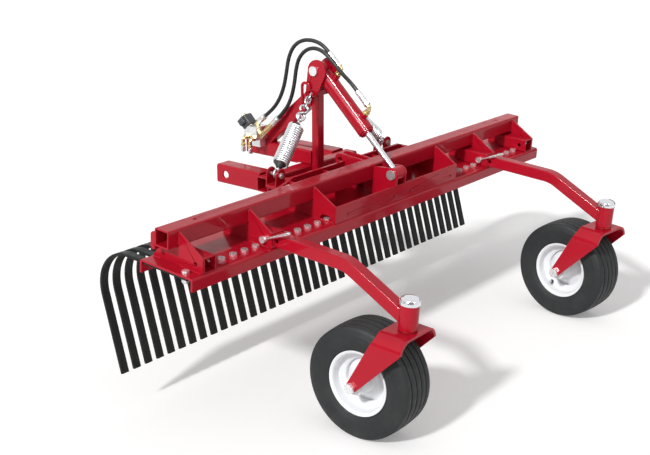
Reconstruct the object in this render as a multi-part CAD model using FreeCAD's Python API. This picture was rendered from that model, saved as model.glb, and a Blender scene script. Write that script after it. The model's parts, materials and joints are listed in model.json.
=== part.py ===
import FreeCAD, Part
import math
import os
from FreeCAD import Placement, Rotation, Vector

# Rear-hitched landscape rake with two gauge wheels, a tilt cylinder and helper springs.
# Millimetres. +X runs along the rake, +Y to the hitch side, +Z up.
# The rake head is drawn in its own frame (y from the front flange, z from the web's top)
# and then leaned forward by HEAD_TILT and raised to WEB_HEIGHT above the floor.

# ---- overall layout -------------------------------------------------------------------
HEAD_TILT = 3.95
WEB_HEIGHT = 472.7
CENTRE_X = 22.0
HINGE_Y = 325.0
HINGE_Z = WEB_HEIGHT + 35.3
HITCH_PIN_Y = 560.0
HITCH_PIN_Z = HINGE_Z + 0.5

# ---- clearances -----------------------------------------------------------------------
SLIDE_GAP = 0.3
RUN_GAP = 0.05
SIDE_GAP = 1.0
BOLT_GAP = 0.4

# ---- channel and beam -----------------------------------------------------------------
CHANNEL_LENGTH = 1829.0
CHANNEL_WIDTH = 202.0
CHANNEL_PLATE = 6.35
CHANNEL_BEND = 9.0
FRONT_FLANGE = 38.0
REAR_FLANGE = 40.0
BEAM_LENGTH = 1826.0
BEAM_SIZE = 52.0
BEAM_WALL = 4.8
BEAM_CORNER = 5.0
BEAM_FRONT = 93.7
BEAM_BOTTOM = 54.0
BEAM_HOLE_RADIUS = 5.5
BEAM_HOLE_INSET = 125.0
STIFF_DEPTH = 16.0
STIFF_BOTTOM = 42.0
STIFF_TOP = 92.0
STIFF_CHAMFER = 6.0
PLATE = 6.0
GUSSET_FRONT = 3.0
GUSSET_TOP = 98.0
GUSSET_TAIL = 30.0
GUSSET_OUTER = 871.0
GUSSET_INNER = 596.0
GUSSET_CENTRE = 328.0
NOTCH_DEPTH = 40.0
NOTCH_HEIGHT = 20.0

# ---- arm receivers and arms -----------------------------------------------------------
RECEIVER_WIDTH = 45.0
RECEIVER_HEIGHT = 45.0
RECEIVER_WALL = 3.2
RECEIVER_CORNER = 4.7
RECEIVER_FRONT = 3.0
RECEIVER_LENGTH = 118.0
LOCK_Y = 30.0
LOCK_Z = RECEIVER_HEIGHT / 2
LOCK_RADIUS = 6.2
LOCK_HEAD = 11.0
LOCK_LIP = 4.0
LOCK_TAIL = 9.0
HANDLE_RADIUS = 2.6
HANDLE_GRIP = 3.6
HANDLE_REACH = 95.0
HANDLE_RISE = 44.0
HANDLE_NECK = 0.42
ARM_WALL = 4.0
ARM_BACK = 118.0
ARM_BEND_Y = -226.0
ARM_END_RISE = -9.3
ARM_BEND_RADIUS = 115.0
ARM_SPARE_HOLE_Y = -8.0

# ---- apron, lugs and rear plates ------------------------------------------------------
APRON_PLATE = 5.0
APRON_FRONT = 3.0
APRON_HEIGHT = 54.0
APRON_HOLE_RADIUS = 4.5
APRON_HOLE_Z = 18.5
APRON_HOLES = (-273.0, -31.0, 58.0, 294.0)
LUG_PLATE = 8.0
LUG_PIN_Y = 22.6
LUG_PIN_Z = 86.0
LUG_NOSE = 22.0
PIN_RADIUS = 12.7
EAR_HOLE_Y = 237.0
EAR_HOLE_Z = 88.0
EAR_HOLE_RADIUS = 9.0
EAR_NOSE = 20.0
EAR_SPACING = 37.0
EAR_STEP = 10.0
CROSS_Y = 215.0
CROSS_PLATE = 10.0
CROSS_BOTTOM = 4.0
CROSS_TOP = 86.0
CROSS_END_TOP = 58.0
CROSS_HALF = 372.0
CROSS_TAPER = 90.0
STRUT_OFFSETS = (-300.0, -130.0, 130.0, 300.0)
STRUT_TOP = 78.0
SPRING_OFFSETS = (-295.0, 270.0)
SPRING_BOLT_Y = 278.0
SPRING_BOLT_Z = 84.0
SPRING_BOLT_RADIUS = 5.0
SPRING_BOLT_ACROSS = 16.0
SPRING_BOLT_HEAD = 6.5
SPRING_NUT = 8.0
BRACKET_WIDTH = 42.0
BRACKET_DEPTH = 44.0
BRACKET_PLATE = 5.0
BRACKET_FOOT_Z = 51.0

# ---- tilt hinge -----------------------------------------------------------------------
HINGE_OFFSET = 185.0
HINGE_LUG_WIDTH = 30.0
HINGE_EAR_PLATE = 8.0
HINGE_NOSE = 20.0
HINGE_PIN_RADIUS = 10.0
HINGE_PIN_END = 8.0
HINGE_LUG_EDGE = 7.0
HINGE_COLLAR = 5.0
HINGE_COLLAR_LIP = 4.0

# ---- tines ----------------------------------------------------------------------------
TINE_COUNT = 40
TINE_PITCH = 46.04
TINE_WIDTH = 25.4
TINE_THICK = 7.9
TINE_FRONT = 25.0
TINE_BEND_Y = 258.0
TINE_BEND_RADIUS = 115.0
TINE_BEND_TURN = 109.5
TINE_LEG = 240.0
TINE_SLOT_GAP = 0.6
BOLT_Y = 43.0
BOLT_RADIUS = 6.35
BOLT_HEAD_ACROSS = 19.0
BOLT_HEAD_HEIGHT = 8.0
NUT_HEIGHT = 11.0
BOLT_END = 4.0
FLUSH_RADIUS = 11.0
FLUSH_DEPTH = 5.0

# ---- casters --------------------------------------------------------------------------
SWIVEL_Y = -459.0
BARREL_RADIUS = 27.0
BARREL_BORE = 20.0
BARREL_LENGTH = 78.0
CROWN_ROOM = 16.4
BUSH_LENGTH = 22.0
BUSH_FLANGE = 2.5
KINGPIN_RADIUS = 15.9
KEEPER_PLATE = 3.0
KEEPER_LIP = 5.0
BUSH_LIP = 4.0
CAP_BAND = 11.0
CAP_WALL = 1.6
CAP_LAP = 5.0
CAP_RISE = 13.0
TRAIL = 111.0
LEFT_YAW = 2.0
RIGHT_YAW = -5.0
TYRE_RADIUS = 165.5
TYRE_WIDTH = 128.0
TYRE_BEAD_RADIUS = 88.0
TYRE_BEAD_HALF = 50.0
TYRE_RIBS = 5
TYRE_RIB_PITCH = 23.0
TYRE_GROOVE = 3.0
TYRE_GROOVE_DEPTH = 4.0
TYRE_SAG = 3.0
TYRE_CASING = 10.0
# inset from the widest point and height above the bead, up one sidewall
TYRE_SIDEWALL = ((8.0, 9.0), (2.5, 22.0), (0.0, 40.0), (1.0, 58.0), (3.5, 68.0))
RIM_FLANGE_RADIUS = 95.0
RIM_HALF = 56.0
RIM_PLATE = 3.2
RIM_WELL_RADIUS = 66.0
RIM_WELL_HALF = 20.0
RIM_WELL_SLOPE = 6.0
RIM_SEAT_DROP = 2.0
DISC_INSET = 8.0
DISC_DISH = 22.0
DISC_STEP_RADIUS = 44.0
HUB_RADIUS = 27.0
HUB_HALF = 72.0
BEARING_WALL = 8.0
BEARING_LENGTH = 16.0
AXLE_RADIUS = 9.5
FORK_PLATE = 8.0
FORK_INNER = 80.0
FORK_BEND = 42.0
FORK_SKIRT_REAR = 14.0
FORK_SKIRT_FRONT = 36.0
FORK_TOP_FRONT = 37.0
FORK_TOP_REAR = 51.0
FORK_FOOT = 16.0
AXLE_HEX = 28.0
AXLE_HEAD = 11.0
AXLE_NUT = 16.0
SPACER_WALL = 6.0

# ---- hitch frame ----------------------------------------------------------------------
MAST_SIZE = 30.0
MAST_Y = 341.5
MAST_TOP = HITCH_PIN_Z + 283.5
MAST_WALL = 4.0
MAST_EAR_RADIUS = 37.0
MAST_EAR_SHIFT = 10.0
MAST_EAR_FOOT = HITCH_PIN_Z + 266.5
MAST_EAR_FOOT_HALF = 24.0
MAST_HEAD_WALL = 4.0
BASE_TUBE = 51.0
BASE_HALF = 235.0
BASE_Y = 357.0
BASE_Z = HITCH_PIN_Z - BASE_TUBE / 2
TUBE_WALL = 5.0
BAR_WIDTH = 40.0
BAR_HEIGHT = 50.0
BAR_END = 650.0
BRACE_WIDTH = 40.0
BRACE_DEPTH = 50.0
BRACE_TOP_Z = HITCH_PIN_Z + 273.5
BRACE_FOOT_Y = 600.0
SOCKET_OFFSET = 190.0
SOCKET_SIZE = 64.0
SOCKET_WALL = 6.0
SOCKET_END = 600.0
HITCH_PIN_RADIUS = 12.7

# ---- cylinder -------------------------------------------------------------------------
UPPER_PIN_Y = 328.0
UPPER_PIN_Z = HITCH_PIN_Z + 351.0
CYL_RADIUS = 27.0
CYL_BORE = 22.0
CYL_HEAD = 262.0
CYL_CAP = 34.0
GLAND_LENGTH = 24.0
GLAND_FACE = 6.0
GLAND_LIP = 2.0
ROD_RADIUS = 10.0
EYE_RADIUS = 21.0
BASE_EYE_WIDTH = 55.0
BASE_EYE_LIP = 3.0
ROD_EYE_WIDTH = 36.0
PISTON_LENGTH = 26.0
PISTON_BACK = 150.0
MAST_EAR_PLATE = 8.0
PORT_STATIONS = (57.0, 218.0)
PORT_RADIUS = 12.0
PORT_HEIGHT = 12.0
PORT_BORE = 5.0
ELBOW_RADIUS = 8.5
ELBOW_RISE = 27.0
ELBOW_REACH = 20.0
ELBOW_HEX = 22.0
ELBOW_NUT = 8.0
FERRULE_RADIUS = 8.5
FERRULE_LENGTH = 52.0
OPEN_PIVOT_GAP = 3.2
PIN_HEAD = 7.0
PIN_TAIL = 9.0
PIN_COLLAR = 5.0
PIN_LIP = 3.2
PIN_PLAY = 0.6

# ---- springs, chain, valve and hoses --------------------------------------------------
SPRING_RADIUS = 27.0
SPRING_WIRE = 3.5
SPRING_START = 0.095
SPRING_STOP = 0.61
SPRING_HOOK = 0.73
HOOK_RADIUS = 11.0
ANCHOR_OFFSET = 49.0
ANCHOR_Y = 333.0
ANCHOR_Z = HITCH_PIN_Z + 274.5
CHAIN_WIRE = 3.0
LINK_HALF = 8.0
LINK_GAP = 0.6
ANCHOR_BOLT_RADIUS = 4.0
ANCHOR_PLATE = 6.0
GUIDE_WIRE = 5.0
GUIDE_BACK_Y = 374.0
GUIDE_FRONT_Y = 343.0
GUIDE_LOW = HITCH_PIN_Z + 226.5
GUIDE_HIGH = HITCH_PIN_Z + 308.5
GUIDE_FOOT = HITCH_PIN_Z + 290.5
CHAIN_LINKS = 4
VALVE_SIZE = 58.0
VALVE_DEPTH = 60.0
VALVE_HEIGHT = 46.0
VALVE_Y = 578.0
VALVE_Z = HITCH_PIN_Z + 91.5
VALVE_CHAMFER = 20.0
STEM_LENGTH = 6.0
COIL_RADIUS = 20.0
COIL_LENGTH = 42.0
COIL_NUT = 8.0
HOSE_RADIUS = 6.5

# route points of the two hoses, from past their cylinder ferrules to the valve
HOSE_CAP_ROUTE = [
    (22, 316.0, 939.5), (19, 356, 953), (13, 399, 951), (6, 432, 929),
    (1, 450, 889), (-3, 456, 840), (-7, 465, 787), (-12, 484, 740), (-17, 511, 705), (-22, 546, 676),
]
HOSE_ROD_ROUTE = [
    (22, 200.5, 828.5), (5, 227, 860), (-3, 260, 898), (-4, 297, 926),
    (-5, 336, 934), (-5, 372, 922), (-6, 399, 894), (-7, 411, 855), (-8, 417, 808),
    (-11, 428, 758), (-16, 450, 713), (-21, 486, 677),
]

parts = {}
origin = Vector(CENTRE_X, HITCH_PIN_Y, HITCH_PIN_Z)
tilt = math.radians(HEAD_TILT)
# the axle's height in the head's frame, with the tyre standing on the floor
axle_z = (TYRE_RADIUS - WEB_HEIGHT - (SWIVEL_Y + TRAIL) * math.sin(tilt)) / math.cos(tilt)
barrel_bottom = axle_z + TYRE_RADIUS + CROWN_ROOM
barrel_top = barrel_bottom + BARREL_LENGTH
X_AXIS = Vector(1, 0, 0)
Y_AXIS = Vector(0, 1, 0)
Z_AXIS = Vector(0, 0, 1)


# ---- helpers --------------------------------------------------------------------------
def box(x0, x1, y0, y1, z0, z1):
    return Part.makeBox(x1 - x0, y1 - y0, z1 - z0, Vector(x0, y0, z0))


def rod(start, end, radius):
    span = Vector(*end) - Vector(*start)
    return Part.makeCylinder(radius, span.Length, Vector(*start), span)


def ring(start, end, outer, inner):
    return rod(start, end, outer).cut(rod(start, end, inner))


def plate_x(points, x0, x1):
    """A plate square to X, from its outline in (y, z)."""
    loop = [Vector(x0, y, z) for y, z in points]
    face = Part.Face(Part.makePolygon(loop + loop[:1]))
    return face.extrude(Vector(x1 - x0, 0, 0))


def plate_y(points, y0, y1):
    loop = [Vector(x, y0, z) for x, z in points]
    face = Part.Face(Part.makePolygon(loop + loop[:1]))
    return face.extrude(Vector(0, y1 - y0, 0))


def plate_z(points, z0, z1):
    loop = [Vector(x, y, z0) for x, y in points]
    face = Part.Face(Part.makePolygon(loop + loop[:1]))
    return face.extrude(Vector(0, 0, z1 - z0))


def hexagon(centre, axis, across, height):
    corner = across / math.sqrt(3)
    loop = []
    for step in range(6):
        angle = math.radians(60 * step)
        loop.append(Vector(corner * math.cos(angle), corner * math.sin(angle), 0))
    face = Part.Face(Part.makePolygon(loop + loop[:1]))
    prism = face.extrude(Vector(0, 0, height))
    prism.Placement = Placement(Vector(*centre), Rotation(Z_AXIS, Vector(*axis)))
    return prism


def tangent_plate(circles, x0, x1):
    """A plate square to X whose outline wraps circles given as (y, z, radius)."""
    outline = []
    for y, z, radius in circles:
        steps = 1 if radius == 0 else 24
        for step in range(steps):
            angle = 2 * math.pi * step / steps
            outline.append((y + radius * math.cos(angle), z + radius * math.sin(angle)))
    hull = convex(outline)
    solid = plate_x(hull, x0, x1)
    for y, z, radius in circles:
        if radius:
            solid = solid.fuse(rod((x0, y, z), (x1, y, z), radius))
    return solid.removeSplitter()


def convex(points):
    points = sorted(set(points))

    def half(run):
        line = []
        for p in run:
            while len(line) > 1 and turn(line[-2], line[-1], p) <= 1e-9:
                line.pop()
            line.append(p)
        return line[:-1]

    return half(points) + half(points[::-1])


def turn(a, b, c):
    return (b[0] - a[0]) * (c[1] - a[1]) - (b[1] - a[1]) * (c[0] - a[0])


def square_tube(section, wall, corner):
    """A rounded square tube between two opposite corners of its box, open along its long side."""
    (x0, y0, z0), (x1, y1, z1) = section
    spans = (x1 - x0, y1 - y0, z1 - z0)
    along = spans.index(max(spans))
    outer = rounded(box(x0, x1, y0, y1, z0, z1), along, corner)
    low = [x0 + wall, y0 + wall, z0 + wall]
    high = [x1 - wall, y1 - wall, z1 - wall]
    low[along] = (x0, y0, z0)[along] - 1
    high[along] = (x1, y1, z1)[along] + 1
    inner = box(low[0], high[0], low[1], high[1], low[2], high[2])
    if corner > wall:
        inner = rounded(inner, along, corner - wall)
    return outer.cut(inner)


def rounded(solid, along, radius):
    edges = []
    for edge in solid.Edges:
        step = edge.Vertexes[1].Point - edge.Vertexes[0].Point
        if abs(step[along]) > 0.999 * step.Length:
            edges.append(edge)
    return solid.makeFillet(radius, edges)


def wire_loop(points, radius, bend):
    """A round wire through the points, with every corner turned at the bend radius."""
    return sweep([Vector(*p) for p in points], radius, [bend] * (len(points) - 2))


def sweep(points, radius, bends):
    edges = []
    last = points[0]
    for index in range(1, len(points) - 1):
        before = (points[index - 1] - points[index]).normalize()
        after = (points[index + 1] - points[index]).normalize()
        swing = math.pi - before.getAngle(after)
        back = bends[index - 1] * math.tan(swing / 2)
        start = points[index] + before * back
        end = points[index] + after * back
        inward = (before + after).normalize()
        middle_gap = bends[index - 1] * (1 / math.cos(swing / 2) - 1)
        middle = points[index] + inward * middle_gap
        if (start - last).Length > 1e-6:
            edges.append(Part.LineSegment(last, start).toShape())
        edges.append(Part.Arc(start, middle, end).toShape())
        last = end
    edges.append(Part.LineSegment(last, points[-1]).toShape())
    path = Part.Wire(edges)
    heading = points[1] - points[0]
    profile = Part.Wire([Part.makeCircle(radius, points[0], heading)])
    return path.makePipeShell([profile], True, False)


def hose(name, route, radius):
    """A hose of straight runs joined by arcs as large as the runs allow."""
    points = [Vector(*p) for p in route]
    bends = []
    length = 0.0
    for index in range(1, len(points) - 1):
        one = points[index] - points[index - 1]
        two = points[index + 1] - points[index]
        swing = one.getAngle(two)
        bends.append(0.45 * min(one.Length, two.Length) / math.tan(swing / 2))
    solid = sweep(points, radius, bends)
    length = solid.Volume / (math.pi * radius ** 2)
    runs = [round((b - a).Length) for a, b in zip(points, points[1:])]
    print(name, "bend radii", [round(bend) for bend in bends], "runs", runs, "length", round(length))
    return solid


def to_head(solid):
    """Moves a solid from the head's own frame to the ground frame."""
    placed = solid.copy()
    turned = Placement(Vector(0, 0, WEB_HEIGHT), Rotation(X_AXIS, HEAD_TILT))
    placed.Placement = turned.multiply(placed.Placement)
    return placed


def head_point(y, z):
    return (
        y * math.cos(tilt) - z * math.sin(tilt),
        WEB_HEIGHT + y * math.sin(tilt) + z * math.cos(tilt),
    )


def ground_to_head(y, z):
    rise = z - WEB_HEIGHT
    return (
        y * math.cos(tilt) + rise * math.sin(tilt),
        rise * math.cos(tilt) - y * math.sin(tilt),
    )


def keep(name, solids):
    parts[name] = [solid.translated(-origin) for solid in solids]


def keep_head(name, solids):
    keep(name, [to_head(solid) for solid in solids])


# ---- rake head ------------------------------------------------------------------------
def tine_x(index):
    return (index - (TINE_COUNT - 1) / 2) * TINE_PITCH


def receiver_spans():
    """The x range of each receiver, from the outer face of its gusset inward."""
    spans = []
    for side in (-1, 1):
        for gusset in (GUSSET_OUTER, GUSSET_INNER):
            face = gusset - PLATE / 2
            edges = sorted((side * face, side * (face - RECEIVER_WIDTH)))
            spans.append((edges[0], edges[1]))
    return spans


def under_receiver(x):
    return any(low - 4 < x < high + 4 for low, high in receiver_spans())


def channel():
    width, plate, bend = CHANNEL_WIDTH, CHANNEL_PLATE, CHANNEL_BEND
    half = CHANNEL_LENGTH / 2
    outer = plate_x([(0, -FRONT_FLANGE), (0, 0), (width, 0), (width, -REAR_FLANGE)], -half, half)
    edges = [e for e in outer.Edges if long_edge_at(e, (0, width), 0)]
    outer = outer.makeFillet(bend, edges)
    low = -max(FRONT_FLANGE, REAR_FLANGE) - 1
    inner = box(-half - 1, half + 1, plate, width - plate, low, -plate)
    edges = [e for e in inner.Edges if long_edge_at(e, (plate, width - plate), -plate)]
    inner = inner.makeFillet(bend - plate, edges)
    solid = outer.cut(inner)
    cutters = []
    for index in range(TINE_COUNT):
        x = tine_x(index)
        cutters.append(rod((x, BOLT_Y, -plate - 1), (x, BOLT_Y, 1), BOLT_RADIUS + BOLT_GAP))
        if under_receiver(x):
            cone = Part.makeCone(BOLT_RADIUS + BOLT_GAP, FLUSH_RADIUS + BOLT_GAP, FLUSH_DEPTH)
            cone.translate(Vector(x, BOLT_Y, -FLUSH_DEPTH))
            cutters.append(cone)
        gap = TINE_SLOT_GAP
        side = TINE_WIDTH / 2 + gap
        low = -plate - TINE_THICK - gap
        cutters.append(box(x - side, x + side, width - bend, width + 1, low, -plate))
    return solid.cut(Part.makeCompound(cutters))


def long_edge_at(edge, ys, z):
    box_ = edge.BoundBox
    flat = box_.YLength < 1e-6 and box_.ZLength < 1e-6
    return flat and abs(box_.ZMin - z) < 1e-6 and any(abs(box_.YMin - y) < 1e-6 for y in ys)


def beam():
    half = BEAM_LENGTH / 2
    back = BEAM_FRONT + BEAM_SIZE
    top = BEAM_BOTTOM + BEAM_SIZE
    tube = square_tube(((-half, BEAM_FRONT, BEAM_BOTTOM), (half, back, top)), BEAM_WALL, BEAM_CORNER)
    middle = BEAM_FRONT + BEAM_SIZE / 2
    for side in (-1, 1):
        x = side * (half - BEAM_HOLE_INSET)
        tube = tube.cut(rod((x, middle, top - BEAM_WALL - 2), (x, middle, top + 1), BEAM_HOLE_RADIUS))
    return tube


def stiffener():
    half = BEAM_LENGTH / 2
    front = BEAM_FRONT + BEAM_SIZE
    back = front + STIFF_DEPTH
    cut = STIFF_CHAMFER
    return plate_x(
        [(front, STIFF_BOTTOM), (back - cut, STIFF_BOTTOM), (back, STIFF_BOTTOM + cut),
         (back, STIFF_TOP - cut), (back - cut, STIFF_TOP), (front, STIFF_TOP)],
        -half, half,
    )


def gusset_outline(front, nose):
    back = BEAM_FRONT + BEAM_SIZE
    tail = back + STIFF_DEPTH
    return [
        (front, 0), (front, nose), (BEAM_FRONT, GUSSET_TOP),
        (BEAM_FRONT, BEAM_BOTTOM), (back, BEAM_BOTTOM), (back, STIFF_BOTTOM),
        (tail, STIFF_BOTTOM), (tail + GUSSET_TAIL, CHANNEL_PLATE), (tail + GUSSET_TAIL, 0),
    ]


def gussets():
    plates = []
    for centre, carries_apron in gusset_places():
        low, high = centre - PLATE / 2, centre + PLATE / 2
        if carries_apron:
            outline = gusset_outline(APRON_FRONT + APRON_PLATE, APRON_HEIGHT)
            plate = plate_x(outline, low, high)
            plates.append(plate.cut(plate_x(bolt_notch(), low - 1, high + 1)))
        else:
            plate = plate_x(gusset_outline(GUSSET_FRONT, RECEIVER_HEIGHT), low, high)
            plates.append(plate.cut(lock_hole(low, high)))
    return plates


def lock_hole(low, high):
    """The lock pin's clearance hole through a wall between two x values."""
    return rod((low - 1, LOCK_Y, LOCK_Z), (high + 1, LOCK_Y, LOCK_Z), LOCK_RADIUS + BOLT_GAP)


def bolt_notch():
    """The notch that clears the row of tine bolts under a gusset."""
    start = BOLT_Y - NOTCH_DEPTH / 2
    end = BOLT_Y + NOTCH_DEPTH / 2
    shoulder = NOTCH_HEIGHT / 2
    corner = NOTCH_DEPTH / 5
    return [
        (start, -1), (start, shoulder), (start + corner, NOTCH_HEIGHT),
        (end - corner, NOTCH_HEIGHT), (end, shoulder), (end, -1),
    ]


def gusset_places():
    return [
        (-GUSSET_OUTER, False), (-GUSSET_INNER, False), (CENTRE_X - GUSSET_CENTRE, True),
        (CENTRE_X + GUSSET_CENTRE, True), (GUSSET_INNER, False), (GUSSET_OUTER, False),
    ]


def receivers():
    tubes = []
    for low, high in receiver_spans():
        y0, y1 = RECEIVER_FRONT, RECEIVER_FRONT + RECEIVER_LENGTH
        section = ((low, y0, 0), (high, y1, RECEIVER_HEIGHT))
        tube = square_tube(section, RECEIVER_WALL, RECEIVER_CORNER)
        tubes.append(tube.cut(lock_hole(low, high)))
    return tubes


def apron():
    left = CENTRE_X - GUSSET_CENTRE - PLATE / 2
    right = CENTRE_X + GUSSET_CENTRE + PLATE / 2
    front, back = APRON_FRONT, APRON_FRONT + APRON_PLATE
    plate = box(left, right, front, back, 0, APRON_HEIGHT)
    for offset in APRON_HOLES:
        x = CENTRE_X + offset
        plate = plate.cut(rod((x, front - 1, APRON_HOLE_Z), (x, back + 1, APRON_HOLE_Z), APRON_HOLE_RADIUS))
    return plate


def lug_sides(width, plate):
    """The x ranges of two plates that stand either side of a piece of the given width."""
    inner = width / 2 + SIDE_GAP
    return [
        (CENTRE_X - inner - plate, CENTRE_X - inner),
        (CENTRE_X + inner, CENTRE_X + inner + plate),
    ]


def cylinder_lugs():
    lugs = []
    foot = APRON_FRONT + APRON_PLATE
    y, z = LUG_PIN_Y, LUG_PIN_Z
    outline = [(y, z, LUG_NOSE), (foot, 0, 0), (BEAM_FRONT, 0, 0), (BEAM_FRONT, GUSSET_TOP, 0)]
    for x0, x1 in lug_sides(ROD_EYE_WIDTH, LUG_PLATE):
        hole = rod((x0 - 1, y, z), (x1 + 1, y, z), PIN_RADIUS + OPEN_PIVOT_GAP)
        lugs.append(tangent_plate(outline, x0, x1).cut(hole).cut(apron()))
    return lugs


def rear_gussets():
    """Two long ears and four short struts that carry the cross plate behind the beam."""
    back = BEAM_FRONT + BEAM_SIZE
    tail = back + STIFF_DEPTH
    top = BEAM_BOTTOM + BEAM_SIZE
    edge = CHANNEL_WIDTH
    plates = []
    for side in (-1, 1):
        x0 = CENTRE_X + side * EAR_SPACING / 2 - LUG_PLATE / 2
        x1 = x0 + LUG_PLATE
        upper = tangent_plate([(EAR_HOLE_Y, EAR_HOLE_Z, EAR_NOSE), (back, top, 0), (back, STIFF_TOP, 0),
                               (tail, STIFF_TOP, 0), (CROSS_Y, STIFF_BOTTOM, 0)], x0, x1)
        upper = upper.cut(box(x0 - 1, x1 + 1, back - 1, tail, 0, STIFF_TOP))
        foot = [(tail, 0), (edge, 0), (CROSS_Y + CROSS_PLATE, STIFF_BOTTOM),
                (CROSS_Y, STIFF_TOP - EAR_STEP), (tail, STIFF_TOP)]
        ear = upper.fuse(plate_x(foot, x0, x1)).removeSplitter()
        hole = rod((x0 - 1, EAR_HOLE_Y, EAR_HOLE_Z), (x1 + 1, EAR_HOLE_Y, EAR_HOLE_Z), EAR_HOLE_RADIUS)
        plates.append(ear.cut(hole))
    for offset in STRUT_OFFSETS:
        x0 = CENTRE_X + offset - LUG_PLATE / 2
        outline = [(tail, 0), (edge, 0), (CROSS_Y, CROSS_BOTTOM + EAR_STEP),
                   (CROSS_Y, STRUT_TOP), (tail, STRUT_TOP)]
        plates.append(plate_x(outline, x0, x0 + LUG_PLATE))
    return plates


def cross_plate(ears):
    inner = CROSS_HALF - CROSS_TAPER
    outline = [
        (CENTRE_X - CROSS_HALF, CROSS_BOTTOM), (CENTRE_X - CROSS_HALF, CROSS_END_TOP),
        (CENTRE_X - inner, CROSS_TOP), (CENTRE_X + inner, CROSS_TOP),
        (CENTRE_X + CROSS_HALF, CROSS_END_TOP), (CENTRE_X + CROSS_HALF, CROSS_BOTTOM),
    ]
    return plate_y(outline, CROSS_Y, CROSS_Y + CROSS_PLATE).cut(Part.makeCompound(ears))


def spring_brackets():
    brackets = []
    half = BRACKET_WIDTH / 2
    back = CROSS_Y + CROSS_PLATE
    front = SPRING_BOLT_Y - BRACKET_DEPTH / 2
    rear = SPRING_BOLT_Y + BRACKET_DEPTH / 2
    for offset in SPRING_OFFSETS:
        x = CENTRE_X + offset
        foot_top = BRACKET_FOOT_Z
        solid = box(x - half, x + half, back, rear, foot_top - 2 * BRACKET_PLATE, foot_top)
        for y0 in (front, rear - BRACKET_PLATE):
            y1 = y0 + BRACKET_PLATE
            ear = box(x - half, x + half, y0, y1, foot_top, SPRING_BOLT_Z)
            solid = solid.fuse(ear).fuse(rod((x, y0, SPRING_BOLT_Z), (x, y1, SPRING_BOLT_Z), half))
        hole = rod((x, front - 1, SPRING_BOLT_Z), (x, rear + 1, SPRING_BOLT_Z), SPRING_BOLT_RADIUS)
        brackets.append(solid.removeSplitter().cut(hole))
    return brackets


def spring_bolts():
    bolts = []
    front = SPRING_BOLT_Y - BRACKET_DEPTH / 2
    rear = SPRING_BOLT_Y + BRACKET_DEPTH / 2
    for offset in SPRING_OFFSETS:
        x = CENTRE_X + offset
        tail = rear + SPRING_NUT + BOLT_END
        shank = rod((x, front, SPRING_BOLT_Z), (x, tail, SPRING_BOLT_Z), SPRING_BOLT_RADIUS)
        head = hexagon((x, front, SPRING_BOLT_Z), (0, -1, 0), SPRING_BOLT_ACROSS, SPRING_BOLT_HEAD)
        nut = hexagon((x, rear, SPRING_BOLT_Z), (0, 1, 0), SPRING_BOLT_ACROSS, SPRING_NUT)
        bolts.append(shank.fuse(head).fuse(nut).removeSplitter())
    return bolts


def hinge_plates():
    """The x ranges of the head's two ears at each hinge."""
    inner = HINGE_LUG_WIDTH / 2 + SIDE_GAP
    spans = []
    for side in (-1, 1):
        x = CENTRE_X + side * HINGE_OFFSET
        spans.append((x - inner - HINGE_EAR_PLATE, x - inner))
        spans.append((x + inner, x + inner + HINGE_EAR_PLATE))
    return spans


def hinge_ears():
    ears = []
    y, z = ground_to_head(HINGE_Y, HINGE_Z)
    back = CROSS_Y + CROSS_PLATE
    for x0, x1 in hinge_plates():
        outline = [(y, z, HINGE_NOSE), (back, CROSS_BOTTOM, 0), (back, CROSS_END_TOP, 0)]
        ear = tangent_plate(outline, x0, x1)
        ears.append(ear.cut(rod((x0 - 1, y, z), (x1 + 1, y, z), HINGE_PIN_RADIUS + RUN_GAP)))
    return ears


def tine(x):
    """One flat bar: straight below the web, a round bend behind it, then a straight leg."""
    top = -CHANNEL_PLATE
    centre = (TINE_BEND_Y, top - TINE_BEND_RADIUS)
    end = math.radians(90 - TINE_BEND_TURN)
    mid = math.radians(90 - TINE_BEND_TURN / 2)
    leg = (-math.cos(math.pi / 2 - end), -math.cos(end))
    x0 = x - TINE_WIDTH / 2

    def at(radius, angle):
        return Vector(x0, centre[0] + radius * math.cos(angle), centre[1] + radius * math.sin(angle))

    outer, inner = TINE_BEND_RADIUS, TINE_BEND_RADIUS - TINE_THICK
    down = Vector(0, math.sin(end), -math.cos(end)) * TINE_LEG
    start_out = Vector(x0, TINE_FRONT, top)
    start_in = Vector(x0, TINE_FRONT, top - TINE_THICK)
    tip_out, tip_in = at(outer, end) + down, at(inner, end) + down
    edges = [
        Part.LineSegment(start_out, at(outer, math.pi / 2)).toShape(),
        Part.Arc(at(outer, math.pi / 2), at(outer, mid), at(outer, end)).toShape(),
        Part.LineSegment(at(outer, end), tip_out).toShape(),
        Part.LineSegment(tip_out, tip_in).toShape(),
        Part.LineSegment(tip_in, at(inner, end)).toShape(),
        Part.Arc(at(inner, end), at(inner, mid), at(inner, math.pi / 2)).toShape(),
        Part.LineSegment(at(inner, math.pi / 2), start_in).toShape(),
        Part.LineSegment(start_in, start_out).toShape(),
    ]
    bar = Part.Face(Part.Wire(edges)).extrude(Vector(TINE_WIDTH, 0, 0))
    hole = rod((x, BOLT_Y, top - TINE_THICK - 1), (x, BOLT_Y, top + 1), BOLT_RADIUS + BOLT_GAP)
    return bar.cut(hole)


def tine_bolt(x):
    seat = -CHANNEL_PLATE - TINE_THICK
    tail = seat - NUT_HEIGHT - BOLT_END
    if under_receiver(x):
        head = Part.makeCone(BOLT_RADIUS, FLUSH_RADIUS, FLUSH_DEPTH)
        head.translate(Vector(x, BOLT_Y, -FLUSH_DEPTH))
    else:
        head = hexagon((x, BOLT_Y, 0), (0, 0, 1), BOLT_HEAD_ACROSS, BOLT_HEAD_HEIGHT)
    shank = rod((x, BOLT_Y, tail), (x, BOLT_Y, 0), BOLT_RADIUS)
    return shank.fuse(head).removeSplitter()


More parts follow.
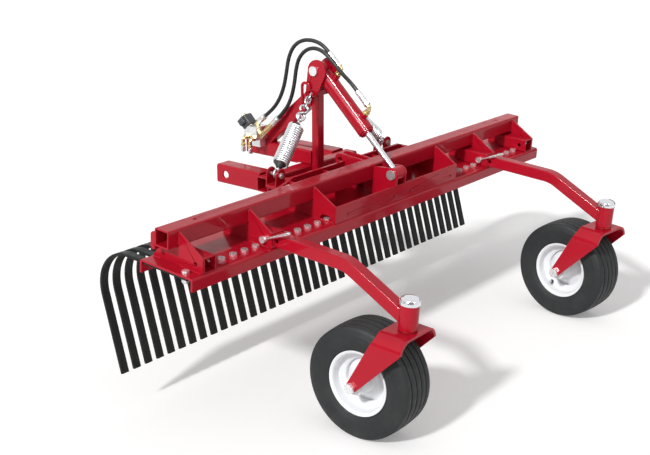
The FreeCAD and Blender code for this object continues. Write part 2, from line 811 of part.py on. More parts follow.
def tine_nut(x):
    seat = -CHANNEL_PLATE - TINE_THICK
    nut = hexagon((x, BOLT_Y, seat), (0, 0, -1), BOLT_HEAD_ACROSS, NUT_HEIGHT)
    return nut.cut(rod((x, BOLT_Y, seat - NUT_HEIGHT - 1), (x, BOLT_Y, seat + 1), BOLT_RADIUS))


def build_head():
    keep_head("rake_channel", [channel()])
    keep_head("upper_beam", [beam()])
    keep_head("beam_stiffener", [stiffener()])
    keep_head("gusset_plates", gussets())
    outer_left, inner_left, outer_right, inner_right = receivers()
    keep_head("arm_receivers_outer", [outer_left, outer_right])
    keep_head("arm_receiver_left", [inner_left])
    keep_head("arm_receiver_right", [inner_right])
    keep_head("apron_plate", [apron()])
    keep_head("cylinder_lugs", cylinder_lugs())
    ears = rear_gussets()
    keep_head("rear_gussets", ears)
    keep_head("rear_cross_plate", [cross_plate(ears)])
    keep_head("spring_brackets", spring_brackets())
    keep_head("spring_bolts", spring_bolts())
    keep_head("hinge_ears", hinge_ears())
    places = [tine_x(index) for index in range(TINE_COUNT)]
    half = TINE_COUNT // 2
    keep_head("tines_left", [tine(x) for x in places[:half]])
    keep_head("tines_right", [tine(x) for x in places[half:]])
    keep_head("tine_bolts", [tine_bolt(x) for x in places])
    keep_head("tine_nuts", [tine_nut(x) for x in places])


# ---- arms and casters -----------------------------------------------------------------
def arm_sizes():
    width = RECEIVER_WIDTH - 2 * RECEIVER_WALL - 2 * SLIDE_GAP
    height = RECEIVER_HEIGHT - 2 * RECEIVER_WALL - 2 * SLIDE_GAP
    return width, height, RECEIVER_HEIGHT / 2


def arm_slope(middle_z):
    """The sloped run's angle, from the bend down to its end on the barrel."""
    end_z = (barrel_bottom + barrel_top) / 2 + ARM_END_RISE
    run = ARM_BEND_Y - SWIVEL_Y
    drop = middle_z - ARM_BEND_RADIUS - end_z
    return math.atan2(drop, run) + math.asin(ARM_BEND_RADIUS / math.hypot(run, drop))


def swept_bar(x, width, height, middle_z):
    """A straight bar that bends down to the swivel barrel, as a solid of the given section."""
    bend = ARM_BEND_RADIUS
    slope = arm_slope(middle_z)
    half = height / 2
    x0 = x - width / 2
    centre = (ARM_BEND_Y, middle_z - bend)

    def at(radius, angle):
        return Vector(x0, centre[0] - radius * math.sin(angle), centre[1] + radius * math.cos(angle))

    run = -(SWIVEL_Y - ARM_BEND_Y) / math.cos(slope)
    away = Vector(0, -math.cos(slope), -math.sin(slope)) * run
    top_end, low_end = at(bend + half, slope) + away, at(bend - half, slope) + away
    top_back = Vector(x0, ARM_BACK, middle_z + half)
    low_back = Vector(x0, ARM_BACK, middle_z - half)
    edges = [
        Part.LineSegment(top_back, at(bend + half, 0)).toShape(),
        Part.Arc(at(bend + half, 0), at(bend + half, slope / 2), at(bend + half, slope)).toShape(),
        Part.LineSegment(at(bend + half, slope), top_end).toShape(),
        Part.LineSegment(top_end, low_end).toShape(),
        Part.LineSegment(low_end, at(bend - half, slope)).toShape(),
        Part.Arc(at(bend - half, slope), at(bend - half, slope / 2), at(bend - half, 0)).toShape(),
        Part.LineSegment(at(bend - half, 0), low_back).toShape(),
        Part.LineSegment(low_back, top_back).toShape(),
    ]
    return Part.Face(Part.Wire(edges)).extrude(Vector(width, 0, 0))


def arm(x):
    width, height, middle = arm_sizes()
    outer = swept_bar(x, width, height, middle)
    long_edges = [e for e in outer.Edges if e.BoundBox.XLength < 1e-6 and e.BoundBox.YLength > 20]
    outer = outer.makeFillet(ARM_WALL, long_edges)
    inner = swept_bar(x, width - 2 * ARM_WALL, height - 2 * ARM_WALL, middle)
    solid = outer.cut(inner)
    room = 3 * BARREL_RADIUS
    barrel = rod((x, SWIVEL_Y, barrel_bottom - room), (x, SWIVEL_Y, barrel_top + room), BARREL_RADIUS)
    low, high = barrel_bottom - room, barrel_top + room
    beyond = box(x - room, x + room, SWIVEL_Y - room, SWIVEL_Y, low, high)
    solid = solid.cut(barrel).cut(beyond)
    for y, z in ((LOCK_Y, LOCK_Z), (ARM_SPARE_HOLE_Y, LOCK_Z)):
        solid = solid.cut(rod((x - width, y, z), (x + width, y, z), LOCK_RADIUS + RUN_GAP))
    biggest = max(solid.Solids, key=lambda piece: piece.Volume)
    return biggest


def barrel(x):
    return ring((x, SWIVEL_Y, barrel_bottom), (x, SWIVEL_Y, barrel_top), BARREL_RADIUS, BARREL_BORE)


def bushing(x, face, direction):
    inner = KINGPIN_RADIUS + RUN_GAP
    deep = face - direction * BUSH_LENGTH
    sleeve = ring((x, SWIVEL_Y, deep), (x, SWIVEL_Y, face), BARREL_BORE, inner)
    end = face + direction * BUSH_FLANGE
    lip = ring((x, SWIVEL_Y, face), (x, SWIVEL_Y, end), BARREL_BORE + BUSH_LIP, inner)
    return sleeve.fuse(lip).removeSplitter()


def swivel_cap(x):
    """A pressed cap: a skirt round the barrel's top and a low dome."""
    base = barrel_top - CAP_LAP
    rim = base + CAP_BAND
    outer = BARREL_RADIUS + CAP_WALL
    skirt = ring((x, SWIVEL_Y, base), (x, SWIVEL_Y, rim), outer, BARREL_RADIUS)
    return skirt.fuse(dome(x, rim, outer).cut(dome(x, rim - CAP_WALL, outer))).removeSplitter()


def dome(x, base, radius):
    sphere_radius = (radius ** 2 + CAP_RISE ** 2) / (2 * CAP_RISE)
    ball = Part.makeSphere(sphere_radius, Vector(x, SWIVEL_Y, base + CAP_RISE - sphere_radius))
    slab = box(x - radius, x + radius, SWIVEL_Y - radius, SWIVEL_Y + radius, base, base + CAP_RISE + 1)
    return ball.common(slab)


def fork_top():
    return barrel_bottom - BUSH_FLANGE - SLIDE_GAP


def fork():
    """A plate bent into a U, with the kingpin welded through its crown. Swivel axis at x = y = 0."""
    top = fork_top()
    outer = FORK_INNER + FORK_PLATE
    foot_z = axle_z
    front, back = -FORK_TOP_FRONT, FORK_TOP_REAR
    end = TRAIL + FORK_FOOT
    low = foot_z - FORK_FOOT
    body = box(-outer, outer, front, end, low, top)
    body = body.makeFillet(FORK_BEND, [e for e in body.Edges if crown_edge(e, outer, top)])
    hollow = box(-FORK_INNER, FORK_INNER, front - 1, end + 1, low - 1, top - FORK_PLATE)
    inner_edges = [e for e in hollow.Edges if crown_edge(e, FORK_INNER, top - FORK_PLATE)]
    hollow = hollow.makeFillet(FORK_BEND - FORK_PLATE, inner_edges)
    shoulder = top - FORK_SKIRT_REAR
    outline = [(TRAIL, foot_z, FORK_FOOT), (back, shoulder, 0), (front, shoulder, 0)]
    outline.append((front, top - FORK_SKIRT_FRONT, 0))
    side = tangent_plate(outline, -outer - 1, outer + 1)
    crown = box(-outer - 1, outer + 1, front, back, shoulder, top)
    body = body.cut(hollow).common(side.fuse(crown))
    hole = rod((-outer - 1, TRAIL, foot_z), (outer + 1, TRAIL, foot_z), AXLE_RADIUS + BOLT_GAP / 2)
    keeper_z = barrel_top + BUSH_FLANGE + SLIDE_GAP
    pin = rod((0, 0, top - FORK_PLATE), (0, 0, keeper_z), KINGPIN_RADIUS)
    keeper = rod((0, 0, keeper_z), (0, 0, keeper_z + KEEPER_PLATE), KINGPIN_RADIUS + KEEPER_LIP)
    return body.cut(hole).fuse(pin).fuse(keeper).removeSplitter()


def crown_edge(edge, half, z):
    b = edge.BoundBox
    straight = b.XLength < 1e-6 and b.ZLength < 1e-6
    return straight and abs(abs(b.XMin) - half) < 1e-6 and abs(b.ZMin - z) < 1e-6


def axle():
    z = axle_z
    outer = FORK_INNER + FORK_PLATE
    shank = rod((-outer, TRAIL, z), (outer + AXLE_NUT + 4, TRAIL, z), AXLE_RADIUS)
    head = hexagon((-outer, TRAIL, z), (-1, 0, 0), AXLE_HEX, AXLE_HEAD)
    nut = hexagon((outer, TRAIL, z), (1, 0, 0), AXLE_HEX, AXLE_NUT)
    pieces = shank.fuse(head).fuse(nut)
    for side in (-1, 1):
        start = side * (HUB_HALF + SLIDE_GAP)
        spacer = rod((start, TRAIL, z), (side * FORK_INNER, TRAIL, z), AXLE_RADIUS + SPACER_WALL)
        pieces = pieces.fuse(spacer)
    return pieces.removeSplitter()


def spun(points):
    """Turns an outline of (along the axle, radius) about the axle."""
    z = axle_z
    loop = [Vector(a, TRAIL, z + r) for a, r in points]
    face = Part.Face(Part.makePolygon(loop + loop[:1]))
    return face.revolve(Vector(0, TRAIL, z), X_AXIS, 360)


def tyre():
    half = TYRE_WIDTH / 2
    side = [(TYRE_BEAD_HALF, TYRE_BEAD_RADIUS), (TYRE_BEAD_HALF, RIM_FLANGE_RADIUS + SLIDE_GAP)]
    side += [(half - inset, TYRE_BEAD_RADIUS + rise) for inset, rise in TYRE_SIDEWALL]
    tread = tread_outline()
    casing = [(a - TYRE_CASING, r) for a, r in side[:1] + side[3:-1]]
    casing.append((side[-1][0] - TYRE_CASING - 6, TYRE_RADIUS - 2 * TYRE_CASING))
    left = [(-a, r) for a, r in side]
    inner = casing + [(-a, r) for a, r in casing[::-1]]
    return spun(left + tread + side[::-1] + inner)


def tread_outline():
    """The ribbed tread from the left shoulder to the right one."""
    line = []
    rib_half = (TYRE_RIB_PITCH - TYRE_GROOVE) / 2
    edge = TYRE_RIBS * TYRE_RIB_PITCH / 2
    for rib in range(TYRE_RIBS):
        centre = (rib - (TYRE_RIBS - 1) / 2) * TYRE_RIB_PITCH
        left, right = centre - rib_half, centre + rib_half
        if rib:
            low = line[-1][1] - TYRE_GROOVE_DEPTH
            line += [(line[-1][0], low), (left, low)]
        line += [(a, TYRE_RADIUS - TYRE_SAG * (a / edge) ** 2) for a in (left, centre, right)]
    return line


def rim():
    seat, flange, plate = TYRE_BEAD_RADIUS, RIM_FLANGE_RADIUS, RIM_PLATE
    well, well_half = RIM_WELL_RADIUS, RIM_WELL_HALF
    half = RIM_HALF
    bead = TYRE_BEAD_HALF + SLIDE_GAP
    foot = well_half + RIM_WELL_SLOPE
    low_seat = seat - RIM_SEAT_DROP
    outer = [(-half, flange), (-bead, flange), (-bead, seat), (-foot, low_seat), (-well_half, well)]
    inner = [(half, flange - plate), (half - plate / 2, seat - plate), (foot + plate / 2, low_seat - plate),
             (well_half + plate / 2, well - plate)]
    outer += [(-a, r) for a, r in outer[::-1]]
    inner += [(-a, r) for a, r in inner[::-1]]
    band = spun(outer + inner)
    for side in (-1, 1):
        start, dish = DISC_INSET, DISC_DISH
        disc = [(start, well - plate), (start + plate, well - plate), (dish, DISC_STEP_RADIUS),
                (dish, HUB_RADIUS), (dish - plate, HUB_RADIUS), (dish - plate, DISC_STEP_RADIUS)]
        band = band.fuse(spun([(side * a, r) for a, r in disc]))
    return band.removeSplitter()


def hub():
    z = axle_z
    seat = AXLE_RADIUS + BEARING_WALL
    pieces = [ring((-HUB_HALF, TRAIL, z), (HUB_HALF, TRAIL, z), HUB_RADIUS, seat)]
    for side in (-1, 1):
        start = side * (HUB_HALF - BEARING_LENGTH)
        end = side * HUB_HALF
        pieces.append(ring((start, TRAIL, z), (end, TRAIL, z), seat, AXLE_RADIUS + RUN_GAP))
    return pieces


def place_caster(solid, x, yaw):
    placed = solid.copy()
    spin = Placement(Vector(x, SWIVEL_Y, 0), Rotation(Z_AXIS, yaw))
    placed.Placement = spin.multiply(placed.Placement)
    return placed


def build_arms():
    outer_left, inner_left, outer_right, inner_right = receiver_spans()
    barrels, bushes, caps = [], [], []
    for side, span, yaw in (("left", inner_left, LEFT_YAW), ("right", inner_right, RIGHT_YAW)):
        x = (span[0] + span[1]) / 2
        keep_head("arm_" + side, [arm(x)])
        barrels.append(barrel(x))
        bushes += [bushing(x, barrel_bottom, -1), bushing(x, barrel_top, 1)]
        caps.append(swivel_cap(x))
        groups = {
            "caster_fork_": [fork()], "axle_bolt_": [axle()],
            "tyre_": [tyre()], "rim_": [rim()], "hub_": hub(),
        }
        for name, solids in groups.items():
            keep_head(name + side, [place_caster(solid, x, yaw) for solid in solids])
        print("caster", side, "x", x, "axle z in head", round(axle_z, 2))
    keep_head("swivel_barrels", barrels)
    keep_head("swivel_bushings", bushes)
    keep_head("swivel_caps", caps)


def lock_pin(span, wall):
    """A pin through receiver and arm from the left, with a bent handle that rises to the front."""
    low, high = span
    outer = low - wall - SIDE_GAP
    middle = outer - LOCK_HEAD / 2
    shank = rod((outer, LOCK_Y, LOCK_Z), (high + LOCK_TAIL, LOCK_Y, LOCK_Z), LOCK_RADIUS)
    head = rod((outer - LOCK_HEAD, LOCK_Y, LOCK_Z), (outer, LOCK_Y, LOCK_Z), LOCK_RADIUS + LOCK_LIP)
    neck = Vector(middle, LOCK_Y, LOCK_Z)
    reach = Vector(0, -HANDLE_REACH, HANDLE_RISE)
    collar = neck + reach * HANDLE_NECK
    handle = rod(neck, collar, HANDLE_RADIUS).fuse(rod(collar, neck + reach, HANDLE_GRIP))
    return shank.fuse(head).fuse(handle).removeSplitter()


def build_lock_pins():
    spans = receiver_spans()
    keep_head("lock_pin_left", [lock_pin(spans[1], PLATE)])
    keep_head("lock_pin_right", [lock_pin(spans[3], 0)])


# ---- hitch frame ----------------------------------------------------------------------
def bar_floor():
    return BASE_Z + BASE_TUBE


def mast():
    half = MAST_SIZE / 2
    low = (CENTRE_X - half, MAST_Y - half, BASE_Z)
    high = (CENTRE_X + half, MAST_Y + half, MAST_TOP)
    return square_tube((low, high), MAST_WALL, MAST_WALL - 1)


def base_beam():
    low = (CENTRE_X - BASE_HALF, BASE_Y, BASE_Z)
    high = (CENTRE_X + BASE_HALF, BASE_Y + BASE_TUBE, BASE_Z + BASE_TUBE)
    return square_tube((low, high), TUBE_WALL, 6.0)


def hinge_lugs():
    lugs = []
    for side in (-1, 1):
        x = CENTRE_X + side * HINGE_OFFSET
        low, high = x - HINGE_LUG_WIDTH / 2, x + HINGE_LUG_WIDTH / 2
        outline = [(HINGE_Y, HINGE_Z, HINGE_NOSE), (BASE_Y, BASE_Z + HINGE_LUG_EDGE, 0),
                   (BASE_Y, BASE_Z + BASE_TUBE - HINGE_LUG_EDGE, 0)]
        bore = rod((low - 1, HINGE_Y, HINGE_Z), (high + 1, HINGE_Y, HINGE_Z), HINGE_PIN_RADIUS)
        lugs.append(tangent_plate(outline, low, high).cut(bore))
    return lugs


def hinge_pins():
    pins = []
    for side in (-1, 1):
        x = CENTRE_X + side * HINGE_OFFSET
        reach = HINGE_LUG_WIDTH / 2 + SIDE_GAP + HINGE_EAR_PLATE
        end = reach + HINGE_PIN_END
        pin = rod((x - end, HINGE_Y, HINGE_Z), (x + end, HINGE_Y, HINGE_Z), HINGE_PIN_RADIUS)
        collar = reach + SLIDE_GAP
        for way in (-1, 1):
            near = (x + way * collar, HINGE_Y, HINGE_Z)
            far = (x + way * (collar + HINGE_COLLAR), HINGE_Y, HINGE_Z)
            pin = pin.fuse(rod(near, far, HINGE_PIN_RADIUS + HINGE_COLLAR_LIP))
        pins.append(pin.removeSplitter())
    return pins


def lower_bar():
    low = (CENTRE_X - BAR_WIDTH / 2, MAST_Y + MAST_SIZE / 2, bar_floor())
    high = (CENTRE_X + BAR_WIDTH / 2, BAR_END, bar_floor() + BAR_HEIGHT)
    return square_tube((low, high), TUBE_WALL, 6.0)


def brace():
    """A flat tube from the mast's head down to the lower bar."""
    bar_top = bar_floor() + BAR_HEIGHT
    top = Vector(CENTRE_X, MAST_Y, BRACE_TOP_Z)
    foot = Vector(CENTRE_X, BRACE_FOOT_Y, bar_top - 20)
    run = foot - top
    low = (-BRACE_WIDTH / 2, -BRACE_DEPTH / 2, 0)
    high = (BRACE_WIDTH / 2, BRACE_DEPTH / 2, run.Length + 40)
    blank = square_tube((low, high), TUBE_WALL, TUBE_WALL)
    lean = math.degrees(math.atan2(run.y, run.z))
    blank.Placement = Placement(top, Rotation(X_AXIS, -lean))
    reach = 2 * BRACE_WIDTH
    left, right = CENTRE_X - reach, CENTRE_X + reach
    bar_room = box(left, right, MAST_Y, BAR_END + reach, 0, bar_top)
    mast_room = box(left, right, MAST_Y - reach, MAST_Y + MAST_SIZE / 2, 0, 2 * UPPER_PIN_Z)
    ear_room = box(left, right, MAST_Y, MAST_Y + reach, MAST_EAR_FOOT, MAST_TOP + reach)
    return blank.cut(bar_room).cut(mast_room).cut(ear_room)


def hitch_sockets():
    """Two square sockets that slide over the machine's hitch arms, each with a pin hole."""
    sockets = []
    for side in (-1, 1):
        x = CENTRE_X + side * SOCKET_OFFSET
        half = SOCKET_SIZE / 2
        low = (x - half, BASE_Y + BASE_TUBE, HITCH_PIN_Z - half)
        high = (x + half, SOCKET_END, HITCH_PIN_Z + half)
        tube = square_tube((low, high), SOCKET_WALL, SOCKET_WALL + 2)
        start, end = (x - half - 1, HITCH_PIN_Y, HITCH_PIN_Z), (x + half + 1, HITCH_PIN_Y, HITCH_PIN_Z)
        sockets.append(tube.cut(rod(start, end, HITCH_PIN_RADIUS)))
    return sockets


def mast_ears():
    """Two cheek plates on the mast's head that carry the cylinder's upper pin."""
    ears = []
    y, z = UPPER_PIN_Y, UPPER_PIN_Z
    for x0, x1 in lug_sides(BASE_EYE_WIDTH, MAST_EAR_PLATE):
        foot = [(MAST_Y + way * MAST_EAR_FOOT_HALF, MAST_EAR_FOOT, 0) for way in (-1, 1)]
        ear = tangent_plate([(y - MAST_EAR_SHIFT, z, MAST_EAR_RADIUS)] + foot, x0, x1)
        ears.append(ear.cut(rod((x0 - 1, y, z), (x1 + 1, y, z), PIN_RADIUS)))
    return ears


def mast_head():
    """The block between the cheek plates, round the top of the mast."""
    inner = BASE_EYE_WIDTH / 2 + SIDE_GAP
    half = MAST_SIZE / 2
    low = MAST_EAR_FOOT
    wall = half + MAST_HEAD_WALL
    block = box(CENTRE_X - inner, CENTRE_X + inner, MAST_Y - wall, MAST_Y + wall, low, MAST_TOP)
    socket = box(CENTRE_X - half, CENTRE_X + half, MAST_Y - half, MAST_Y + half, low - 1, MAST_TOP + 1)
    return block.cut(socket)


def mast_brackets():
    """The bent hose guide behind the left cheek plate and a bolted chain anchor on each side."""
    edge = BASE_EYE_WIDTH / 2 + SIDE_GAP + MAST_EAR_PLATE
    x = CENTRE_X - edge - GUIDE_WIRE
    path = [(x, GUIDE_BACK_Y, GUIDE_LOW), (x, GUIDE_BACK_Y, GUIDE_HIGH),
            (x, GUIDE_FRONT_Y, GUIDE_HIGH), (x, GUIDE_FRONT_Y, GUIDE_FOOT)]
    pieces = [wire_loop(path, GUIDE_WIRE, 2.4 * GUIDE_WIRE)]
    for side in (-1, 1):
        pieces.append(anchor(side, edge))
    return pieces


def anchor(side, edge):
    """A small plate on the cheek, with the bolt that the chain hangs on."""
    x = CENTRE_X + side * ANCHOR_OFFSET
    bolt = ANCHOR_BOLT_RADIUS
    reach = ANCHOR_OFFSET - edge + 2 * bolt
    back = ANCHOR_Y + LINK_HALF + CHAIN_WIRE
    edges = sorted((CENTRE_X + side * edge, CENTRE_X + side * (edge + reach)))
    plate = box(edges[0], edges[1], back, back + ANCHOR_PLATE, ANCHOR_Z - 2 * bolt, ANCHOR_Z + 2 * bolt)
    front = ANCHOR_Y - LINK_HALF - CHAIN_WIRE
    shank = rod((x, back + ANCHOR_PLATE, ANCHOR_Z), (x, front, ANCHOR_Z), bolt)
    head = hexagon((x, front, ANCHOR_Z), (0, -1, 0), 3.4 * bolt, 1.4 * bolt)
    return plate.fuse(shank).fuse(head).removeSplitter()


def pin_between(y, z, spread, radius):
    """A cross pin with a flat head on one side and a cotter collar on the other."""
    left, right = CENTRE_X - spread, CENTRE_X + spread
    start, end = left - PIN_HEAD, right + PIN_TAIL
    pin = rod((start, y, z), (end, y, z), radius)
    head = rod((start, y, z), (left - PIN_PLAY, y, z), radius + PIN_LIP)
    collar = rod((right + PIN_PLAY, y, z), (right + PIN_COLLAR, y, z), radius + PIN_LIP)
    return pin.fuse(head).fuse(collar).removeSplitter()


def build_hitch():
    keep("mast", [mast()])
    keep("base_beam", [base_beam()])
    keep("hinge_lugs", hinge_lugs())
    keep("hinge_pins", hinge_pins())
    keep("lower_bar", [lower_bar()])
    keep("mast_brace", [brace()])
    keep("hitch_sockets", hitch_sockets())
    keep("mast_ears", mast_ears() + [mast_head()])
    keep("mast_brackets", mast_brackets())
    spread = BASE_EYE_WIDTH / 2 + SIDE_GAP + MAST_EAR_PLATE
    keep("upper_pin", [pin_between(UPPER_PIN_Y, UPPER_PIN_Z, spread, PIN_RADIUS - RUN_GAP)])


# ---- tilt cylinder --------------------------------------------------------------------
def cylinder_frame():
    """Upper pin, unit vector down the cylinder, and unit vector square to it on the upper side."""
    y, z = head_point(LUG_PIN_Y, LUG_PIN_Z)
    upper = Vector(CENTRE_X, UPPER_PIN_Y, UPPER_PIN_Z)
    lower = Vector(CENTRE_X, y, z)
    run = lower - upper
    length = run.Length
    along = run.normalize()
    outward = Vector(0, along.z, -along.y)
    return upper, along, outward, length


def on_cylinder(station, height):
    upper, along, outward, _ = cylinder_frame()
    point = upper + along * station + outward * height
    return (point.x, point.y, point.z)


def stations(start, end, radius):
    return rod(on_cylinder(start, 0), on_cylinder(end, 0), radius)


def cross_rod(y, z, half, radius):
    """A cylinder along X about the machine's centre."""
    return rod((CENTRE_X - half, y, z), (CENTRE_X + half, y, z), radius)


def cylinder_tube():
    """The barrel with its base eye and two drilled port bosses."""
    half = BASE_EYE_WIDTH / 2
    tube = stations(EYE_RADIUS, CYL_HEAD, CYL_RADIUS)
    tube = tube.fuse(cross_rod(UPPER_PIN_Y, UPPER_PIN_Z, half, EYE_RADIUS + BASE_EYE_LIP))
    face = CYL_RADIUS + PORT_HEIGHT
    for s in PORT_STATIONS:
        tube = tube.fuse(rod(on_cylinder(s, 0), on_cylinder(s, face), PORT_RADIUS))
    tube = tube.cut(stations(CYL_CAP, CYL_HEAD + 1, CYL_BORE))
    tube = tube.cut(cross_rod(UPPER_PIN_Y, UPPER_PIN_Z, half + 1, PIN_RADIUS))
    for s in PORT_STATIONS:
        tube = tube.cut(rod(on_cylinder(s, CYL_BORE - 2), on_cylinder(s, face + 1), PORT_BORE))
    return tube.removeSplitter()


def build_cylinder():
    length = cylinder_frame()[3]
    print("pin to pin", round(length, 2))
    keep("cylinder_tube", [cylinder_tube()])
    gland = stations(CYL_HEAD - GLAND_LENGTH, CYL_HEAD, CYL_BORE)
    gland = gland.fuse(stations(CYL_HEAD, CYL_HEAD + GLAND_FACE, CYL_BORE + GLAND_LIP))
    keep("cylinder_gland", [gland.cut(stations(0, length, ROD_RADIUS + RUN_GAP))])
    piston = stations(PISTON_BACK, PISTON_BACK + PISTON_LENGTH, CYL_BORE - RUN_GAP)
    shaft = stations(PISTON_BACK, length - EYE_RADIUS + 3, ROD_RADIUS)
    keep("cylinder_piston", [piston.cut(shaft)])
    y, z = head_point(LUG_PIN_Y, LUG_PIN_Z)
    half = ROD_EYE_WIDTH / 2
    eye = cross_rod(y, z, half, EYE_RADIUS).fuse(shaft).cut(cross_rod(y, z, half + 1, PIN_RADIUS))
    keep("cylinder_rod", [eye.removeSplitter()])
    spread = half + SIDE_GAP + LUG_PLATE
    keep("lower_pin", [pin_between(y, z, spread, PIN_RADIUS)])
    keep("port_fittings", [port_fitting(station) for station in PORT_STATIONS])


def ferrule_end(station, beyond):
    height = CYL_RADIUS + PORT_HEIGHT + ELBOW_RISE
    return on_cylinder(station - ELBOW_REACH - FERRULE_LENGTH - beyond, height)


def port_fitting(s):
    """An elbow on a port boss, with the hose's crimped ferrule along the barrel."""
    low = CYL_RADIUS + PORT_HEIGHT
    bend = low + ELBOW_RISE
    back = s - ELBOW_REACH
    outward = tuple(cylinder_frame()[2])
    riser = rod(on_cylinder(s, low), on_cylinder(s, bend), ELBOW_RADIUS)
    nut = hexagon(on_cylinder(s, low), outward, ELBOW_HEX, ELBOW_NUT)
    ball = Part.makeSphere(ELBOW_RADIUS, Vector(*on_cylinder(s, bend)))
    reach = rod(on_cylinder(s, bend), on_cylinder(back, bend), ELBOW_RADIUS)
    sleeve = rod(on_cylinder(back, bend), ferrule_end(s, 0), FERRULE_RADIUS + 1)
    return riser.fuse(nut).fuse(ball).fuse(reach).fuse(sleeve).removeSplitter()


# ---- springs and chain ----------------------------------------------------------------
def spring_line(side):
    y, z = head_point(SPRING_BOLT_Y, SPRING_BOLT_Z)
    low = Vector(CENTRE_X + (SPRING_OFFSETS[0] if side < 0 else SPRING_OFFSETS[1]), y, z)
    high = Vector(CENTRE_X + side * ANCHOR_OFFSET, ANCHOR_Y, ANCHOR_Z)
    return low, high


def spring_top(side):
    low, high = spring_line(side)
    return low + (high - low) * SPRING_HOOK


def coil_spring(side):
    """A close-wound extension spring as a plain tube with a loop at each end."""
    low, high = spring_line(side)
    run = high - low
    unit = Vector(run).normalize()
    start, stop = low + run * SPRING_START, low + run * SPRING_STOP
    wire = SPRING_WIRE
    body = ring(tuple(start), tuple(stop), SPRING_RADIUS, SPRING_RADIUS - 2 * wire)
    for lid in (start, stop - unit * 2 * wire):
        body = body.fuse(Part.makeCylinder(SPRING_RADIUS, 2 * wire, lid, unit))
    lift = HOOK_RADIUS - wire - SPRING_BOLT_RADIUS - SLIDE_GAP
    low_eye = low + Vector(0, -math.sin(tilt), math.cos(tilt)) * lift
    top_eye = spring_top(side) - unit * HOOK_RADIUS
    loops = [
        Part.makeTorus(HOOK_RADIUS, wire, low_eye, Vector(0, math.cos(tilt), math.sin(tilt))),
        Part.makeTorus(HOOK_RADIUS, wire, top_eye, (Y_AXIS - unit * unit.y).normalize()),
        rod(tuple(low_eye + unit * HOOK_RADIUS), tuple(start), wire),
        rod(tuple(stop), tuple(top_eye - unit * HOOK_RADIUS), wire),
    ]
    for loop in loops:
        body = body.fuse(loop)
    return body.removeSplitter()


def link(start, end, across):
    """One stadium-shaped chain link between two points, with its hole along the given direction."""
    unit = (end - start).normalize()
    wide = across.cross(unit).normalize() * LINK_HALF
    nose = unit * LINK_HALF
    a, b = start + nose, end - nose
    edges = [
        Part.LineSegment(a + wide, b + wide).toShape(),
        Part.Arc(b + wide, b + nose, b - wide).toShape(),
        Part.LineSegment(b - wide, a - wide).toShape(),
        Part.Arc(a - wide, a - nose, a + wide).toShape(),
    ]
    profile = Part.Wire([Part.makeCircle(CHAIN_WIRE, a + wide, unit)])
    return Part.Wire(edges).makePipeShell([profile], True, False)


def chain(side):
    """Links from the spring's upper hook to the anchor bolt, each turned a quarter from the last."""
    low, high = spring_line(side)
    unit = (high - low).normalize()
    start = spring_top(side) - unit * (SPRING_WIRE + 2 * CHAIN_WIRE + LINK_GAP)
    finish = high + unit * (ANCHOR_BOLT_RADIUS + 2 * CHAIN_WIRE + LINK_GAP)
    overlap = 4 * CHAIN_WIRE + LINK_GAP
    step = ((finish - start).Length + overlap * (CHAIN_LINKS - 1)) / CHAIN_LINKS
    links = []
    for index in range(CHAIN_LINKS):
        a = start + unit * (index * (step - overlap) + CHAIN_WIRE)
        b = a + unit * (step - 2 * CHAIN_WIRE)
        across = Y_AXIS if index % 2 else Y_AXIS.cross(unit).normalize()
        links.append(link(a, b, across))
    return links


def build_springs():
    for side, name in ((-1, "left"), (1, "right")):
        keep("spring_" + name, [coil_spring(side)])
    keep("spring_chains", chain(-1) + chain(1))


# ---- valve and hoses ------------------------------------------------------------------
def build_valve():
    right = CENTRE_X - BRACE_WIDTH / 2
    left = right - VALVE_SIZE
    x = (left + right) / 2
    y0, y1 = VALVE_Y - VALVE_DEPTH / 2, VALVE_Y + VALVE_DEPTH / 2
    z0, z1 = VALVE_Z, VALVE_Z + VALVE_HEIGHT
    cut = VALVE_CHAMFER
    block = plate_x([(y0, z0), (y1, z0), (y1, z1 - cut), (y1 - cut, z1), (y0, z1)], left, right)
    foot = box(x, right, VALVE_Y - 20, VALVE_Y + 20, bar_floor() + BAR_HEIGHT - 14, z0)
    keep("valve_block", [block, foot])
    seat = Vector(x, y1 - cut / 2, z1 - cut / 2)
    lean = Vector(0, 1, 1).normalize()
    stem = rod(tuple(seat), tuple(seat + lean * (STEM_LENGTH + COIL_LENGTH + COIL_NUT)), COIL_RADIUS / 2)
    base = seat + lean * STEM_LENGTH
    coil = rod(tuple(base), tuple(base + lean * COIL_LENGTH), COIL_RADIUS)
    keep("valve_coil", [stem.fuse(coil).removeSplitter()])
    keep("valve_fittings", [cap_fitting(z1), rod_fitting(y0)])
    routes = {"hose_cap_end": HOSE_CAP_ROUTE, "hose_rod_end": HOSE_ROD_ROUTE}
    for (name, route), station in zip(routes.items(), PORT_STATIONS):
        start = ferrule_end(station, SLIDE_GAP)
        keep(name, [hose(name, [start] + route, HOSE_RADIUS)])


def route_end(route):
    end = Vector(*route[-1])
    return end, (end - Vector(*route[-2])).normalize()


def cap_fitting(top):
    """A crimped sleeve that ends in a short stub down into the valve's top."""
    end, heading = route_end(HOSE_CAP_ROUTE)
    elbow = end + heading * 0.55 * FERRULE_LENGTH
    sleeve = rod(tuple(end), tuple(elbow), FERRULE_RADIUS + 1)
    ball = Part.makeSphere(FERRULE_RADIUS + 1, elbow)
    stub = rod(tuple(elbow), (elbow.x, elbow.y, top), FERRULE_RADIUS)
    below = box(elbow.x - 40, elbow.x + 40, elbow.y - 40, elbow.y + 40, top - 40, top)
    return sleeve.fuse(ball).fuse(stub).cut(below).removeSplitter()


